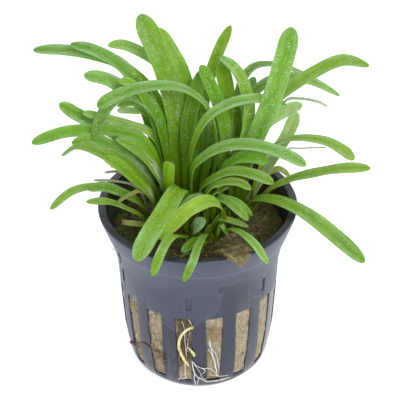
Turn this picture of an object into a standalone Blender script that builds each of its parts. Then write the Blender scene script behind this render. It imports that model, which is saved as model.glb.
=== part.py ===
"""Potted amazon sword plant: a young rosette plant in a slotted plastic net pot packed with mineral wool.

Metres, +Z up. The origin is the centre of the pot's flat foot, and the front of the plant faces -Y.
Every leaf, crown and root is its own closed solid, as are the pot, the wool plug and the moss flap.
"""

import math
from collections import namedtuple

import bmesh
import bpy
from mathutils import Matrix, Vector

MM = 0.001
GAP = 0.35 * MM  # clearance between pieces that touch in the real plant

# ---- pot ----
RIM_RADIUS = 27.5 * MM
FLOOR_THICKNESS = 1.2 * MM
POT_SEGMENTS = 48
# (radius, height) down the outer wall, in mm: flared collar, small step, nearly straight body, rounded foot
POT_OUTSIDE = (
    (27.5, 51.6),
    (27.3, 50.4),
    (25.4, 44.9),
    (25.2, 44.5),
    (23.8, 40.5),
    (22.7, 35.5),
    (21.9, 21.0),
    (21.3, 12.0),
    (20.4, 5.6),
    (19.5, 2.2),
    (17.7, 0.0),
)
# (radius, height) up the inner wall, in mm
POT_INSIDE = (
    (17.0, 1.2),
    (19.0, 5.4),
    (20.2, 12.4),
    (20.8, 21.0),
    (21.5, 35.7),
    (22.5, 40.8),
    (24.1, 44.9),
    (25.3, 50.8),
    (25.3, 51.6),
)

# ---- slots and marks in the pot ----
SLOT_COUNT = 16
SLOT_WIDTH = 4.9 * MM  # at the top
SLOT_FOOT_SHARE = 0.73  # width at the bottom against the width at the top
SLOT_BOTTOM = 3.9 * MM
SLOT_TOP = 28.0 * MM
SLOT_INNER_RADIUS = 15.5 * MM
SLOT_OUTER_RADIUS = 25.0 * MM
FLOOR_SLOT_COUNT = 8
FLOOR_SLOT_WIDTH = 2.4 * MM
FLOOR_SLOT_START = 6.5 * MM
FLOOR_SLOT_END = 14.0 * MM
MARK_ANGLES = (-67, -7, 52, 113, 173, 233)  # degrees from the front, towards the right
MARK_WIDTH = 1.5 * MM
MARK_HEIGHT = 4.4 * MM
MARK_MIDDLE = 33.6 * MM
MARK_DEPTH = 0.35 * MM
MARK_WALL_RADIUS = 22.55 * MM

# ---- wool plug ----
WOOL_SEGMENTS = 24
WOOL_TOP = 43.6 * MM
WOOL_RINGS = 5
BANK_CENTRE = (10.5, -18.5)  # mm, where the moss has grown up to the rim
BANK_SPREAD = 6.5  # mm
BANK_HEIGHT = 5.4 * MM

# ---- moss flap over the rim: (distance from the pot's axis, height) in mm ----
FLAP_ANGLE = 23.0  # degrees from the front, towards the right
FLAP_ROUTE = ((21.5, 50.8), (24.3, 52.5), (26.5, 52.75), (28.6, 52.1), (29.1, 50.2))
FLAP_WIDTHS = (7.0, 8.0, 7.5, 5.0, 1.6)
FLAP_THICKNESS = 0.8 * MM
FLAP_STEPS = (8, 4)

# ---- crowns ----
CROWN_HEIGHT = 2.8 * MM
CROWN_SINK = 2.0 * MM
CROWN_TAPER = 0.92
CROWN_SEGMENTS = 12
# name: (x, y, radius) in mm
CROWNS = {
    "crown_main": (-5.0, 5.5, 6.0),
    "crown_right": (10.0, 6.0, 6.0),
    "crown_back": (2.5, 13.0, 3.4),
    "crown_front": (1.0, -6.5, 5.0),
    "crown_left": (-13.5, -1.5, 3.8),
}

# ---- leaves ----
LEAF_THICKNESS = 0.6 * MM
LEAF_STEPS = 9
SHORT_LEAF_STEPS = 7
SHORT_LEAF = 35.0 * MM
LEAF_HALVES = 2
STALK_SHARE = 0.38  # width of the stalk end against the blade's widest place
BLADE_FULL_AT = 0.62  # share of the length at which the blade is widest
FOLD = 0.16  # depth of the channel along the midrib against the half width
TIP_LENGTHS = {"blunt": 0.95, "tapered": 1.5, "pointed": 2.1, "stub": 0.45, "cut": 0.0}  # against the width
TIP_END = 0.22  # width left at the very end of a solid's tip, against the width
TIP_CROWDING = 1.35  # more than 1 sets the cross-sections closer towards the tip

Leaf = namedtuple("Leaf", "width route roll tip", defaults=((0, 0), "blunt"))
# Width and route points in mm, from the crown to the tip; roll in degrees at the crown, along the blade
# and at the tip. Positive roll lifts the blade's left edge, looking from the crown along the leaf.
LEAVES = {
    # the main rosette, left of the middle
    "leaf_main_01": Leaf(
        3.6,
        ((-8.6, 9.2, 46), (-12, 14, 62), (-15.7, 18, 75.6), (-20.6, 20.5, 83.6), (-28.5, 22.5, 85.8),
         (-36.5, 24, 86.3), (-45, 25, 85.9)),
        (-20, -40, -20),
        "tapered",
    ),
    "leaf_main_02": Leaf(
        3.4,
        ((-6.5, 10.3, 46), (-8.5, 14, 59.3), (-12.5, 15.3, 71.3), (-16.7, 16, 81), (-22, 18, 86.2),
         (-28.5, 19.5, 89.1), (-34.2, 21, 90)),
        (-20, -40, -20),
        "tapered",
    ),
    "leaf_main_03": Leaf(
        4.1,
        ((-9.8, 6.9, 46), (-9.8, 10.5, 61.5), (-11.2, 12.4, 70.8), (-17.2, 12, 78.3), (-23.5, 13, 83),
         (-30.5, 14, 84.3)),
        (-20, -40, -25),
    ),
    "leaf_main_04": Leaf(
        4.1,
        ((-9.9, 4.6, 46), (-15, 7, 59.5), (-22, 10, 67.2), (-29, 11.5, 70.6), (-33.4, 11.5, 73.6),
         (-37.5, 11, 77.1)),
        (-10, -30),
    ),
    "leaf_main_05": Leaf(
        3.8,
        ((-0.4, 4, 46), (5, 4, 61), (5, 4, 72.5), (2.5, 5, 79.6), (-2, 6, 83.6), (-7.5, 6.5, 85.1),
         (-14.5, 6, 85), (-21.5, 5.5, 82.7), (-26.7, 5, 79.8)),
        (0, 0, -30),
    ),
    "leaf_main_06": Leaf(
        4.3,
        ((-7.5, 5.1, 46), (-8.4, 6, 62), (-10.2, 6.3, 74.2), (-12, 7.2, 77.6), (-14.5, 8.2, 80.1),
         (-18, 8.8, 81.4), (-21, 8.3, 81), (-23.8, 6.8, 78.8), (-25.9, 4.8, 75.4), (-27.9, 2.3, 71)),
        (-20, -35, -30),
        "tapered",
    ),
    "leaf_main_07": Leaf(
        3.6,
        ((-6.3, 2.7, 46), (-11.3, 3.2, 63.5), (-15, 4.3, 69.6), (-21.5, 5.5, 71.7), (-28.5, 7, 71),
         (-36.5, 6.8, 70.4), (-45, 5, 68.3)),
        (-10, -35, -30),
        "tapered",
    ),
    "leaf_main_08": Leaf(
        2.4,
        ((-7.1, 7.9, 46), (-8.8, 9, 60), (-12.3, 8.8, 68.4), (-18, 9.2, 71.2), (-24, 9, 73.4),
         (-31, 9, 75.4)),
        (-20, -40, -30),
    ),
    "leaf_main_09": Leaf(
        3.6,
        ((-8.6, 2.4, 46), (-13, 2.9, 57), (-18, 2, 65.3), (-22.5, 1.7, 68.7), (-28, 3.6, 70.3),
         (-34, 3.6, 69.1)),
        (-10, -35),
        "tapered",
    ),
    "leaf_main_10": Leaf(
        3.6,
        ((-11.2, 0.5, 46), (-14.3, -0.6, 56.8), (-22, -1.9, 66.6), (-27, -2.5, 70.4), (-32, -1.5, 71.2),
         (-36.5, -1.5, 68.5)),
        (-10, -35, 10),
        "pointed",
    ),
    "leaf_main_11": Leaf(
        3.8,
        ((-7.5, 0.8, 46), (-9.5, 0, 57.5), (-12.8, -0.5, 65.4), (-16.9, -0.5, 70.2), (-21.8, 0, 72.9)),
        (-10, -35),
        "pointed",
    ),
    "leaf_main_12": Leaf(
        3.9,
        ((-10.6, -1.4, 46), (-12.8, -3.5, 56.5), (-16.5, -4.2, 62), (-21, -4.5, 67.2), (-25.2, -4.5, 69.9)),
        (-10, -35),
        "tapered",
    ),
    "leaf_main_13": Leaf(
        6.0,
        ((-4.6, 9.3, 46), (-5.3, 11.4, 59.8), (-5.8, 12.6, 72.7), (-8.4, 14.5, 85), (-11.6, 17, 92.8),
         (-15, 19.5, 99.8)),
        (-20, -40),
    ),
    "leaf_main_14": Leaf(
        4.2,
        ((-2.1, 10.1, 46), (-2, 14.3, 58.6), (-2, 15.5, 73), (-3.9, 18, 82.5), (-7.2, 20.5, 88.5),
         (-10.7, 23, 93.5)),
        (-10, -30),
    ),
    "leaf_main_15": Leaf(
        4.6,
        ((-2.8, 6.8, 46), (-2.5, 8.5, 59.5), (-2.3, 9.5, 70), (-0.6, 11, 78), (1.7, 13.5, 85.9)),
        (0, 0),
        "tapered",
    ),
    "leaf_main_16": Leaf(
        3.5,
        ((-5.9, -0.2, 46), (-7.9, -3.1, 59.2), (-7.6, -3.6, 67.6)),
        (0, 0),
        "stub",
    ),
    "leaf_main_17": Leaf(
        3.2,
        ((-2.5, 1.6, 46), (-2, 0.8, 64), (0.5, 0, 75), (5, 1, 80.5), (11.5, 4, 81.8), (17.5, 8, 79.8),
         (24.5, 10.5, 76)),
        (0, 20),
    ),
    "leaf_main_18": Leaf(
        4.1,
        ((-1.5, -2.6, 46), (-1.5, -2.8, 63), (2, -2.8, 68.5), (7.5, -2.5, 71.5), (14.5, -2.5, 71.9),
         (22, -2.5, 69.5), (29.4, -2.5, 65.3)),
        (0, 25),
    ),
    "leaf_main_19": Leaf(
        3.2,
        ((0.1, 13.5, 46), (-3, 18, 60), (-7.5, 19.5, 73.8), (-10.3, 21.5, 82.6), (-15, 23.5, 85.6),
         (-20, 25, 87.2), (-24.4, 26, 86.7)),
        (0, -30),
        "tapered",
    ),
    # the right rosette
    "leaf_right_01": Leaf(
        4.0,
        ((6, 5.5, 46), (6.7, 7.5, 58.5), (7.6, 8, 69.7), (5.4, 9.5, 78.7), (1.1, 11.5, 88.5)),
    ),
    "leaf_right_02": Leaf(
        4.3,
        ((7, 8.5, 46), (6.7, 11.5, 57.5), (7.8, 13, 70), (8.3, 15, 78.3), (6.6, 17.5, 86)),
    ),
    "leaf_right_03": Leaf(
        3.6,
        ((2, 11.4, 46), (1.8, 13.5, 59), (1.8, 16.5, 69.6), (3.3, 18.5, 78.5), (6, 21, 86.4),
         (9.6, 23.5, 93.9)),
        (0, 0),
        "pointed",
    ),
    "leaf_right_04": Leaf(
        3.8,
        ((9.5, 5.5, 46), (10, 6, 59.5), (13.4, 7, 70), (13.9, 8.5, 79), (10.9, 11, 86.7), (6.4, 13, 90.2)),
        (0, 15),
    ),
    "leaf_right_05": Leaf(
        2.7,
        ((8.8, 11.2, 46), (8.9, 16.6, 61), (11.5, 20.6, 73.4), (13.6, 22.1, 78.9), (17.2, 24, 81),
         (24, 25.2, 79.9),
         (30.9, 25.6, 76.6)),
        (0, 10),
    ),
    "leaf_right_06": Leaf(
        3.7,
        ((11.5, 10.8, 46), (11, 15, 64.5), (15.5, 18, 74.9), (22.5, 20, 79), (30.6, 21, 77.8),
         (39.9, 21, 72.6)),
        (0, 15),
        "pointed",
    ),
    "leaf_right_07": Leaf(
        5.4,
        ((11.8, 3.8, 46), (13, 4, 60.7), (16.3, 3.5, 71), (19.8, 4.5, 80.5), (22.7, 6.5, 90.5),
         (25.4, 10, 100.8)),
        (30, 55),
    ),
    "leaf_right_08": Leaf(
        4.1,
        ((10, 8, 46), (12.7, 10, 58), (17.6, 12.5, 71.7), (24, 14.5, 77.6), (31, 16, 82.3), (39.5, 17, 86.2),
         (47.2, 17, 84.5)),
        (0, 20),
        "pointed",
    ),
    "leaf_right_09": Leaf(
        4.1,
        ((13, 10, 46), (14.5, 13, 56), (18.5, 15.5, 65.6), (24, 17.5, 69.3), (29.4, 19, 71.2)),
        (0, 15),
    ),
    "leaf_right_10": Leaf(
        4.6,
        ((14.3, 8, 46), (18, 8.5, 53.5), (21.9, 10, 60.5), (25.2, 12, 65.7), (27.9, 14, 71.7)),
        (0, 15),
    ),
    "leaf_right_11": Leaf(
        3.7,
        ((14.5, 5.7, 46), (16.3, 4, 58), (20.4, 4, 66.8), (27, 5, 68.8), (34.6, 6, 67.3), (39.1, 6, 64.8),
         (43.3, 6, 61.4)),
        (0, -20, 30),
    ),
    "leaf_right_12": Leaf(
        3.7,
        ((14.9, 3.2, 46), (19.5, 2.5, 53.5), (25.5, 2, 57.5), (32.5, 1.5, 59.9), (40, 1, 61.6),
         (47.2, 0.5, 62)),
        (0, 20),
        "tapered",
    ),
    "leaf_right_13": Leaf(
        4.8,
        ((12.2, 1.3, 46), (15, -1, 52.8), (21.5, -3, 54), (29.3, -6, 51.6), (37.4, -10, 46.7),
         (45.2, -15, 41.6)),
        (0, 15),
        "tapered",
    ),
    "leaf_right_14": Leaf(
        4.4,
        ((7.4, 1.6, 46), (6, -0.8, 60), (9.5, -0.5, 65.2), (14, -0.5, 66.8), (19, -1, 65.7)),
        (0, 20),
        "stub",
    ),
    # the front rosette
    "leaf_front_01": Leaf(
        3.4,
        ((0, -4, 46), (0.5, -3, 57), (4, -4.5, 62.3), (9.5, -5, 65.2), (15.5, -5.5, 64.2), (20.5, -6, 62)),
        (0, 20),
    ),
    "leaf_front_02": Leaf(
        3.2,
        ((4.2, -4, 46), (4.9, -3.6, 54.6), (7.6, -5.2, 55.8), (10.5, -7.4, 54.5), (13.7, -9.1, 51.8)),
        (0, 15),
        "tapered",
    ),
    "leaf_front_03": Leaf(
        2.4,
        ((5.8, -8.1, 46), (8.3, -12.5, 51.5), (12, -18, 53.8), (15.2, -23.5, 54), (18.3, -27.5, 51)),
        (0, 0),
        "pointed",
    ),
    "leaf_front_04": Leaf(
        5.5,
        ((-2.2, -4, 46), (-4, -4.4, 57.6), (-5.3, -8.5, 61.4), (-9, -15, 58.7), (-12.9, -21, 55.5),
         (-16.2, -26.7, 51.8)),
        (0, -10),
    ),
    "leaf_front_05": Leaf(
        4.2,
        ((5, -6.5, 46), (6.8, -8, 54), (3.5, -10, 59), (-2, -13, 58.7), (-6, -15.3, 56), (-10.3, -17.5, 52)),
        (0, -25, -20),
        "pointed",
    ),
    "leaf_front_06": Leaf(
        2.9,
        ((2, -5.2, 46), (2.6, -5.5, 55), (1.6, -6.2, 57.8), (-1.5, -7.5, 57.8), (-5.5, -8.4, 54.4)),
    ),
    "leaf_front_07": Leaf(
        2.7,
        ((-2.9, -7.6, 46), (-4, -16.4, 52), (-7, -21.6, 55.7), (-9.5, -25.5, 53.9), (-12, -28.5, 48.3)),
        (0, 0),
        "tapered",
    ),
    "leaf_front_08": Leaf(
        2.8,
        ((0.6, -10.4, 46), (0.5, -11.7, 48), (-0.7, -13.5, 48.6), (-4.2, -18.2, 48)),
    ),
    "leaf_front_09": Leaf(
        2.3,
        ((2.4, -9.7, 46), (2.4, -13, 50.2), (1.3, -18, 52.9), (-0.3, -24.5, 53.7), (-1.4, -28.5, 52.7),
         (-3.8, -31, 48.2)),
        (0, 0),
        "pointed",
    ),
    "leaf_front_10": Leaf(
        3.8,
        ((-1, -8.4, 46), (-1, -9.4, 49), (0.3, -10.3, 51.6), (2.1, -10.5, 53.4)),
        (30, 65),
    ),
    # the left rosette
    "leaf_left_01": Leaf(
        3.1,
        ((-14.3, 1, 46), (-16, 2, 50), (-21.5, 1.5, 54.2), (-27.5, 1, 56.4), (-34.2, 0, 55.6),
         (-40.6, -1, 50.5)),
        (0, -15),
        "tapered",
    ),
    "leaf_left_02": Leaf(
        3.3,
        ((-13, -1, 46), (-16, -2, 53), (-21, -2.7, 57), (-25.5, -3.3, 59.3), (-29.8, -3.7, 58.8)),
        (0, -25),
        "tapered",
    ),
    "leaf_left_03": Leaf(
        2.4,
        ((-13.6, -3.2, 46), (-15, -5, 50.3), (-18, -5.5, 52.8), (-24, -6, 56.2), (-30.2, -6.5, 56.7)),
        (0, -20),
        "pointed",
    ),
    "leaf_left_04": Leaf(
        2.4,
        ((-11.3, -3.5, 46), (-15.5, -8, 50), (-20.5, -9, 51.4)),
        (0, -10),
        "cut",
    ),
    # low leaves that arch over the back of the rim
    "leaf_back_01": Leaf(
        4.0,
        ((2, 14.8, 46), (2, 19, 57), (2.2, 27, 62), (2.5, 37, 57)),
    ),
    "leaf_back_02": Leaf(
        4.2,
        ((4.4, 13.6, 46), (7, 18, 57), (11.5, 25, 62), (16, 32, 59)),
    ),
}

# ---- roots that have come out through the front slots: (x, y, z) in mm ----
THICK_ROOT_RADIUS = 0.4 * MM
THIN_ROOT_RADIUS = 0.25 * MM
ROOTS = {
    "root_thick": (
        THICK_ROOT_RADIUS,
        ((-1.6, -22.9, 26), (-3.3, -22.7, 24.9), (-4.9, -22.2, 22.4), (-5.6, -21.9, 19.4),
         (-5.4, -21.8, 17), (-4.6, -21.8, 14.4), (-3.6, -21.7, 12.2), (-3, -21.7, 10.9)),
    ),
    "root_long": (
        THIN_ROOT_RADIUS,
        ((-2.0, -22.0, 13.0), (-1.7, -21.9, 9.8), (-0.8, -21.3, 6.9), (0.9, -20.9, 5.1), (2.6, -20.6, 4.2),
         (5.6, -19.9, 4.0), (8.6, -19.0, 4.3)),
    ),
    "root_short": (
        THIN_ROOT_RADIUS,
        ((2.9, -21.3, 20.2), (3.5, -21.9, 15.9), (4.3, -21.7, 12.0), (4.9, -21.2, 7.4)),
    ),
}
ROOT_STEPS = 12

ROUTE_SAMPLES = 16  # points that a smooth route gets between two given ones

# base colour and roughness
COLOURS = {
    "pot": ((0.115, 0.122, 0.150, 1), 0.38),
    "wool": ((0.42, 0.35, 0.22, 1), 0.95),
    "moss": ((0.16, 0.14, 0.05, 1), 0.95),
    "crown": ((0.30, 0.38, 0.10, 1), 0.6),
    "leaf": ((0.20, 0.42, 0.03, 1), 0.35),
    "root": ((0.80, 0.72, 0.45, 1), 0.5),
}

FRONT = -math.pi / 2


def material(name):
    """A plain Principled material for one kind of piece."""
    found = bpy.data.materials.get(name)
    if found:
        return found
    made = bpy.data.materials.new(name)
    made.use_nodes = True
    shader = made.node_tree.nodes["Principled BSDF"]
    colour, roughness = COLOURS[name]
    shader.inputs["Base Color"].default_value = colour
    shader.inputs["Roughness"].default_value = roughness
    made.diffuse_color = colour
    return made


def add_object(name, mesh, collection, finish):
    """Links a mesh as a named object with its material."""
    made = bpy.data.objects.new(name, mesh)
    collection.objects.link(made)
    mesh.materials.clear()
    mesh.materials.append(material(finish))
    mesh.shade_smooth()
    mesh.set_sharp_from_angle(angle=math.radians(40))
    return made


def mesh_from(bm, name):
    """Turns a bmesh into a mesh and frees it."""
    mesh = bpy.data.meshes.new(name)
    bm.to_mesh(mesh)
    bm.free()
    return mesh


def turned(name, profile, segments, collection, finish):
    """A closed solid turned from (radius, height) points that run down the outside and end on the axis."""
    bm = bmesh.new()
    points = [bm.verts.new((r, 0, z)) for r, z in profile]
    for a, b in zip(points, points[1:]):
        bm.edges.new((a, b))
    made = add_object(name, mesh_from(bm, name), collection, finish)
    screw = made.modifiers.new("turn", "SCREW")
    screw.steps = segments
    screw.render_steps = segments
    screw.use_merge_vertices = True
    screw.merge_threshold = 0.01 * MM
    return made


def baked(made):
    """The object's evaluated mesh, with its modifiers applied and removed."""
    bpy.context.view_layer.update()
    graph = bpy.context.evaluated_depsgraph_get()
    mesh = bpy.data.meshes.new_from_object(made.evaluated_get(graph))
    made.modifiers.clear()
    made.data = mesh
    return mesh


def evenly(count, first_angle):
    """Equally spaced angles round the pot."""
    return [first_angle + 2 * math.pi * i / count for i in range(count)]


def radial_boxes(name, angles, size, middle, cutters, foot_share=1.0):
    """One cutter of equal boxes set round the pot's axis, narrower at the foot by foot_share.

    size is (radial, tangential, height).
    """
    bm = bmesh.new()
    for angle in angles:
        place = Matrix.Rotation(angle, 4, "Z") @ Matrix.Translation((middle[0], 0, middle[1]))
        made = bmesh.ops.create_cube(bm, size=1)
        for v in made["verts"]:
            if v.co.z < 0:
                v.co.y *= foot_share
            v.co = place @ Matrix.Diagonal((*size, 1)) @ v.co
    cutter = bpy.data.objects.new(name, mesh_from(bm, name))
    cutters.objects.link(cutter)
    cutter.hide_render = True
    cutter.display_type = "WIRE"
    return cutter


def cut(made, cutter):
    """Subtracts a cutter from a solid."""
    boolean = made.modifiers.new(cutter.name, "BOOLEAN")
    boolean.operation = "DIFFERENCE"
    boolean.solver = "EXACT"
    boolean.object = cutter


def make_pot(parts, cutters):
    """The turned net pot, with wall slots, floor slots and small moulded marks above the slots."""
    outside = [(r * MM, z * MM) for r, z in POT_OUTSIDE]
    inside = [(r * MM, z * MM) for r, z in POT_INSIDE]
    axis_bottom = (0, 0)
    axis_floor = (0, FLOOR_THICKNESS)
    profile = [axis_floor, *inside, *outside, axis_bottom]
    pot = turned("pot", profile, POT_SEGMENTS, parts, "pot")
    half_step = math.pi / SLOT_COUNT
    depth = SLOT_OUTER_RADIUS - SLOT_INNER_RADIUS
    cut(pot, radial_boxes(
        "slot_cutter", evenly(SLOT_COUNT, FRONT + half_step),
        (depth, SLOT_WIDTH, SLOT_TOP - SLOT_BOTTOM),
        (SLOT_INNER_RADIUS + depth / 2, (SLOT_TOP + SLOT_BOTTOM) / 2), cutters, SLOT_FOOT_SHARE,
    ))
    length = FLOOR_SLOT_END - FLOOR_SLOT_START
    cut(pot, radial_boxes(
        "floor_slot_cutter", evenly(FLOOR_SLOT_COUNT, FRONT),
        (length, FLOOR_SLOT_WIDTH, 4 * FLOOR_THICKNESS),
        (FLOOR_SLOT_START + length / 2, FLOOR_THICKNESS / 2), cutters,
    ))
    cut(pot, radial_boxes(
        "mark_cutter", [FRONT + math.radians(a) for a in MARK_ANGLES],
        (2 * MARK_DEPTH, MARK_WIDTH, MARK_HEIGHT),
        (MARK_WALL_RADIUS, MARK_MIDDLE), cutters,
    ))
    return pot


def wool_height(x, y):
    """Height of the wool's mossy top: a shallow mound with a bank that climbs to the rim at front right."""
    dome = 0.9 * MM * math.cos(min(1.0, math.hypot(x, y) / RIM_RADIUS) * math.pi / 2)
    lumps = 0.35 * MM * math.sin(x / MM * 0.55 + 0.8) * math.cos(y / MM * 0.47 - 0.4)
    away = math.hypot(x / MM - BANK_CENTRE[0], y / MM - BANK_CENTRE[1]) / BANK_SPREAD
    return WOOL_TOP + dome + lumps + BANK_HEIGHT * math.exp(-away * away)


def inner_radius(height):
    """Radius of the pot's inner wall at a height."""
    for (r0, z0), (r1, z1) in zip(POT_INSIDE, POT_INSIDE[1:]):
        if height <= z1 * MM:
            share = (height / MM - z0) / max(z1 - z0, 1e-6)
            return (r0 + max(0.0, share) * (r1 - r0)) * MM
    return POT_INSIDE[-1][0] * MM


def make_wool(parts, cutters):
    """The mineral wool plug: fills the pot, with an uneven mossy top and a socket for each crown."""
    top_radius = inner_radius(WOOL_TOP) - GAP
    rings = [(top_radius * i / WOOL_RINGS, WOOL_TOP) for i in range(WOOL_RINGS + 1)]
    sides = [((r * MM - GAP), z * MM) for r, z in reversed(POT_INSIDE[1:6])]
    floor = FLOOR_THICKNESS + GAP
    foot = (inner_radius(floor) - 2 * GAP, floor)
    wool = turned("rock_wool", [*rings, *sides, foot, (0, floor)], WOOL_SEGMENTS, parts, "wool")
    mesh = baked(wool)
    for v in mesh.vertices:
        if v.co.z > WOOL_TOP - 0.1 * MM:
            v.co.z = wool_height(v.co.x, v.co.y)
            room = inner_radius(v.co.z) - GAP
            out = math.hypot(v.co.x, v.co.y)
            if out > top_radius - GAP:
                v.co.x *= room / out
                v.co.y *= room / out
    for x, y, radius in CROWNS.values():
        bm = bmesh.new()
        level = wool_height(x * MM, y * MM)
        deep = 2 * CROWN_SINK + 2 * GAP
        bmesh.ops.create_cone(
            bm, cap_ends=True, segments=CROWN_SEGMENTS, radius1=radius * MM + GAP,
            radius2=radius * MM + GAP, depth=2 * deep,
            matrix=Matrix.Translation((x * MM, y * MM, level - CROWN_SINK - GAP + deep)),
        )
        cutter = bpy.data.objects.new("socket_cutter", mesh_from(bm, "socket_cutter"))
        cutters.objects.link(cutter)
        cutter.hide_render = True
        cutter.display_type = "WIRE"
        cut(wool, cutter)
    return wool


def make_crowns(parts):
    """The short thick stems that the leaves grow from, sunk into the wool."""
    for name, (x, y, radius) in CROWNS.items():
        level = wool_height(x * MM, y * MM)
        bm = bmesh.new()
        bmesh.ops.create_cone(
            bm, cap_ends=True, segments=CROWN_SEGMENTS,
            radius1=radius * MM, radius2=CROWN_TAPER * radius * MM, depth=CROWN_HEIGHT,
            matrix=Matrix.Translation((x * MM, y * MM, level - CROWN_SINK + CROWN_HEIGHT / 2)),
        )
        add_object(name, mesh_from(bm, name), parts, "crown")


def smooth_route(points):
    """Close points on a smooth (Catmull-Rom) curve through the given ones, and the lengths to them."""
    ends = [points[0] * 2 - points[1], *points, points[-1] * 2 - points[-2]]
    fine = []
    for p0, p1, p2, p3 in zip(ends, ends[1:], ends[2:], ends[3:]):
        for i in range(ROUTE_SAMPLES):
            t = i / ROUTE_SAMPLES
            fine.append(0.5 * (
                2 * p1 + (p2 - p0) * t + (2 * p0 - 5 * p1 + 4 * p2 - p3) * t * t
                + (3 * p1 - p0 - 3 * p2 + p3) * t ** 3
            ))
    fine.append(points[-1].copy())
    lengths = [0.0]
    for a, b in zip(fine, fine[1:]):
        lengths.append(lengths[-1] + (b - a).length)
    return fine, lengths


def along(fine, lengths, share):
    """Point and direction at a share of the route's length."""
    target = min(max(share, 0.0), 1.0) * lengths[-1]
    i = 1
    while i < len(lengths) - 1 and lengths[i] < target:
        i += 1
    step = lengths[i] - lengths[i - 1]
    t = (target - lengths[i - 1]) / step
    return fine[i - 1].lerp(fine[i], t), (fine[min(i + 1, len(fine) - 1)] - fine[max(i - 2, 0)]).normalized()


def smoothstep(t):
    t = min(max(t, 0.0), 1.0)
    return t * t * (3 - 2 * t)


def leaf_width(share, length, leaf):
    """Width of the blade at a share of its length: a narrow stalk that widens, and a rounded tip."""
    full = leaf.width * MM
    width = full * (STALK_SHARE + (1 - STALK_SHARE) * smoothstep(share / BLADE_FULL_AT))
    tip = TIP_LENGTHS[leaf.tip] * full
    left = (1 - share) * length
    if left < tip:
        width *= max(TIP_END, math.sqrt(1 - (1 - left / tip) ** 2))
    return width


def leaf_frame(place, ahead, heading, roll):
    """Sideways and upward directions of the blade at a place on its route."""
    side = Vector((-heading.y, heading.x, 0))
    side = (side - side.dot(ahead) * ahead).normalized()
    up = ahead.cross(side)
    return (
        side * math.cos(roll) + up * math.sin(roll),
        up * math.cos(roll) - side * math.sin(roll),
    )


def roll_at(leaf, share):
    """Roll of the blade in radians, eased between the values given along the leaf."""
    values = leaf.roll
    place = share * (len(values) - 1)
    i = min(int(place), len(values) - 2)
    return math.radians(values[i] + (values[i + 1] - values[i]) * smoothstep(place - i))


def make_leaf(name, leaf, parts):
    """A channelled strap leaf: a grid laid along the leaf's route and thickened."""
    points = [Vector(p) * MM for p in leaf.route]
    fine, lengths = smooth_route(points)
    length = lengths[-1]
    steps = SHORT_LEAF_STEPS if length < SHORT_LEAF else LEAF_STEPS
    heading = Vector((points[-1].x - points[0].x, points[-1].y - points[0].y, 0)).normalized()
    bm = bmesh.new()
    bmesh.ops.create_grid(bm, x_segments=steps, y_segments=LEAF_HALVES, size=1)
    for v in bm.verts:
        share = 1 - (1 - (v.co.x + 1) / 2) ** TIP_CROWDING
        across = v.co.y
        place, ahead = along(fine, lengths, share)
        side, up = leaf_frame(place, ahead, heading, roll_at(leaf, share))
        half = leaf_width(share, length, leaf) / 2
        v.co = place + side * half * across + up * half * FOLD * abs(across)
    made = add_object(name, mesh_from(bm, name), parts, "leaf")
    thick = made.modifiers.new("thickness", "SOLIDIFY")
    thick.thickness = LEAF_THICKNESS
    thick.offset = 0
    return made


def make_flap(parts):
    """The tongue of old moss that has crept over the rim: a bent grid, thickened."""
    angle = math.radians(FLAP_ANGLE)
    outward = Vector((math.sin(angle), -math.cos(angle), 0))
    sideways = Vector((math.cos(angle), math.sin(angle), 0))
    fine, lengths = smooth_route([Vector((r, z, 0)) * MM for r, z in FLAP_ROUTE])
    bm = bmesh.new()
    bmesh.ops.create_grid(bm, x_segments=FLAP_STEPS[0], y_segments=FLAP_STEPS[1], size=1)
    for v in bm.verts:
        share = (v.co.x + 1) / 2
        place = along(fine, lengths, share)[0]
        at = share * (len(FLAP_WIDTHS) - 1)
        i = min(int(at), len(FLAP_WIDTHS) - 2)
        width = (FLAP_WIDTHS[i] + (FLAP_WIDTHS[i + 1] - FLAP_WIDTHS[i]) * (at - i)) * MM
        across = v.co.y * width / 2
        # the tongue follows the round rim: points off its middle line sit nearer the pot's axis line
        bent = math.sqrt(place.x ** 2 - across ** 2)
        v.co = outward * bent + sideways * across + Vector((0, 0, place.y))
    made = add_object("moss_flap", mesh_from(bm, "moss_flap"), parts, "moss")
    thick = made.modifiers.new("thickness", "SOLIDIFY")
    thick.thickness = FLAP_THICKNESS
    thick.offset = 0
    return made


def make_roots(parts):
    """The main roots: round tubes along smooth routes in front of the pot's wall."""
    for name, (radius, route) in ROOTS.items():
        fine, lengths = smooth_route([Vector(p) * MM for p in route])
        curve = bpy.data.curves.new(name, "CURVE")
        curve.dimensions = "3D"
        curve.bevel_depth = radius
        curve.bevel_resolution = 1
        curve.use_fill_caps = True
        spline = curve.splines.new("POLY")
        spline.points.add(ROOT_STEPS)
        for i, point in enumerate(spline.points):
            point.co = (*along(fine, lengths, i / ROOT_STEPS)[0], 1)
        made = bpy.data.objects.new(name, curve)
        parts.objects.link(made)
        curve.materials.append(material("root"))


def main():
    for old in list(bpy.data.objects):
        bpy.data.objects.remove(old)
    parts = bpy.data.collections.new("potted_amazon_sword")
    cutters = bpy.data.collections.new("cutters")
    bpy.context.scene.collection.children.link(parts)
    bpy.context.scene.collection.children.link(cutters)
    make_pot(parts, cutters)
    make_wool(parts, cutters)
    make_crowns(parts)
    for name, leaf in LEAVES.items():
        make_leaf(name, leaf, parts)
    make_flap(parts)
    make_roots(parts)


if __name__ == "__main__":
    main()
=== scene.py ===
"""Looks of the potted amazon sword plant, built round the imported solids.

Metres, +Z up, in the solids' own frame: the origin is the centre of the pot's foot and the front faces -Y.
Routes and sizes of leaves, roots and the pot's profile are given in millimetres.
"""

import math
import random
from collections import namedtuple

import bmesh
import bpy
import numpy as np
from mathutils import Matrix, Vector, noise


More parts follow.
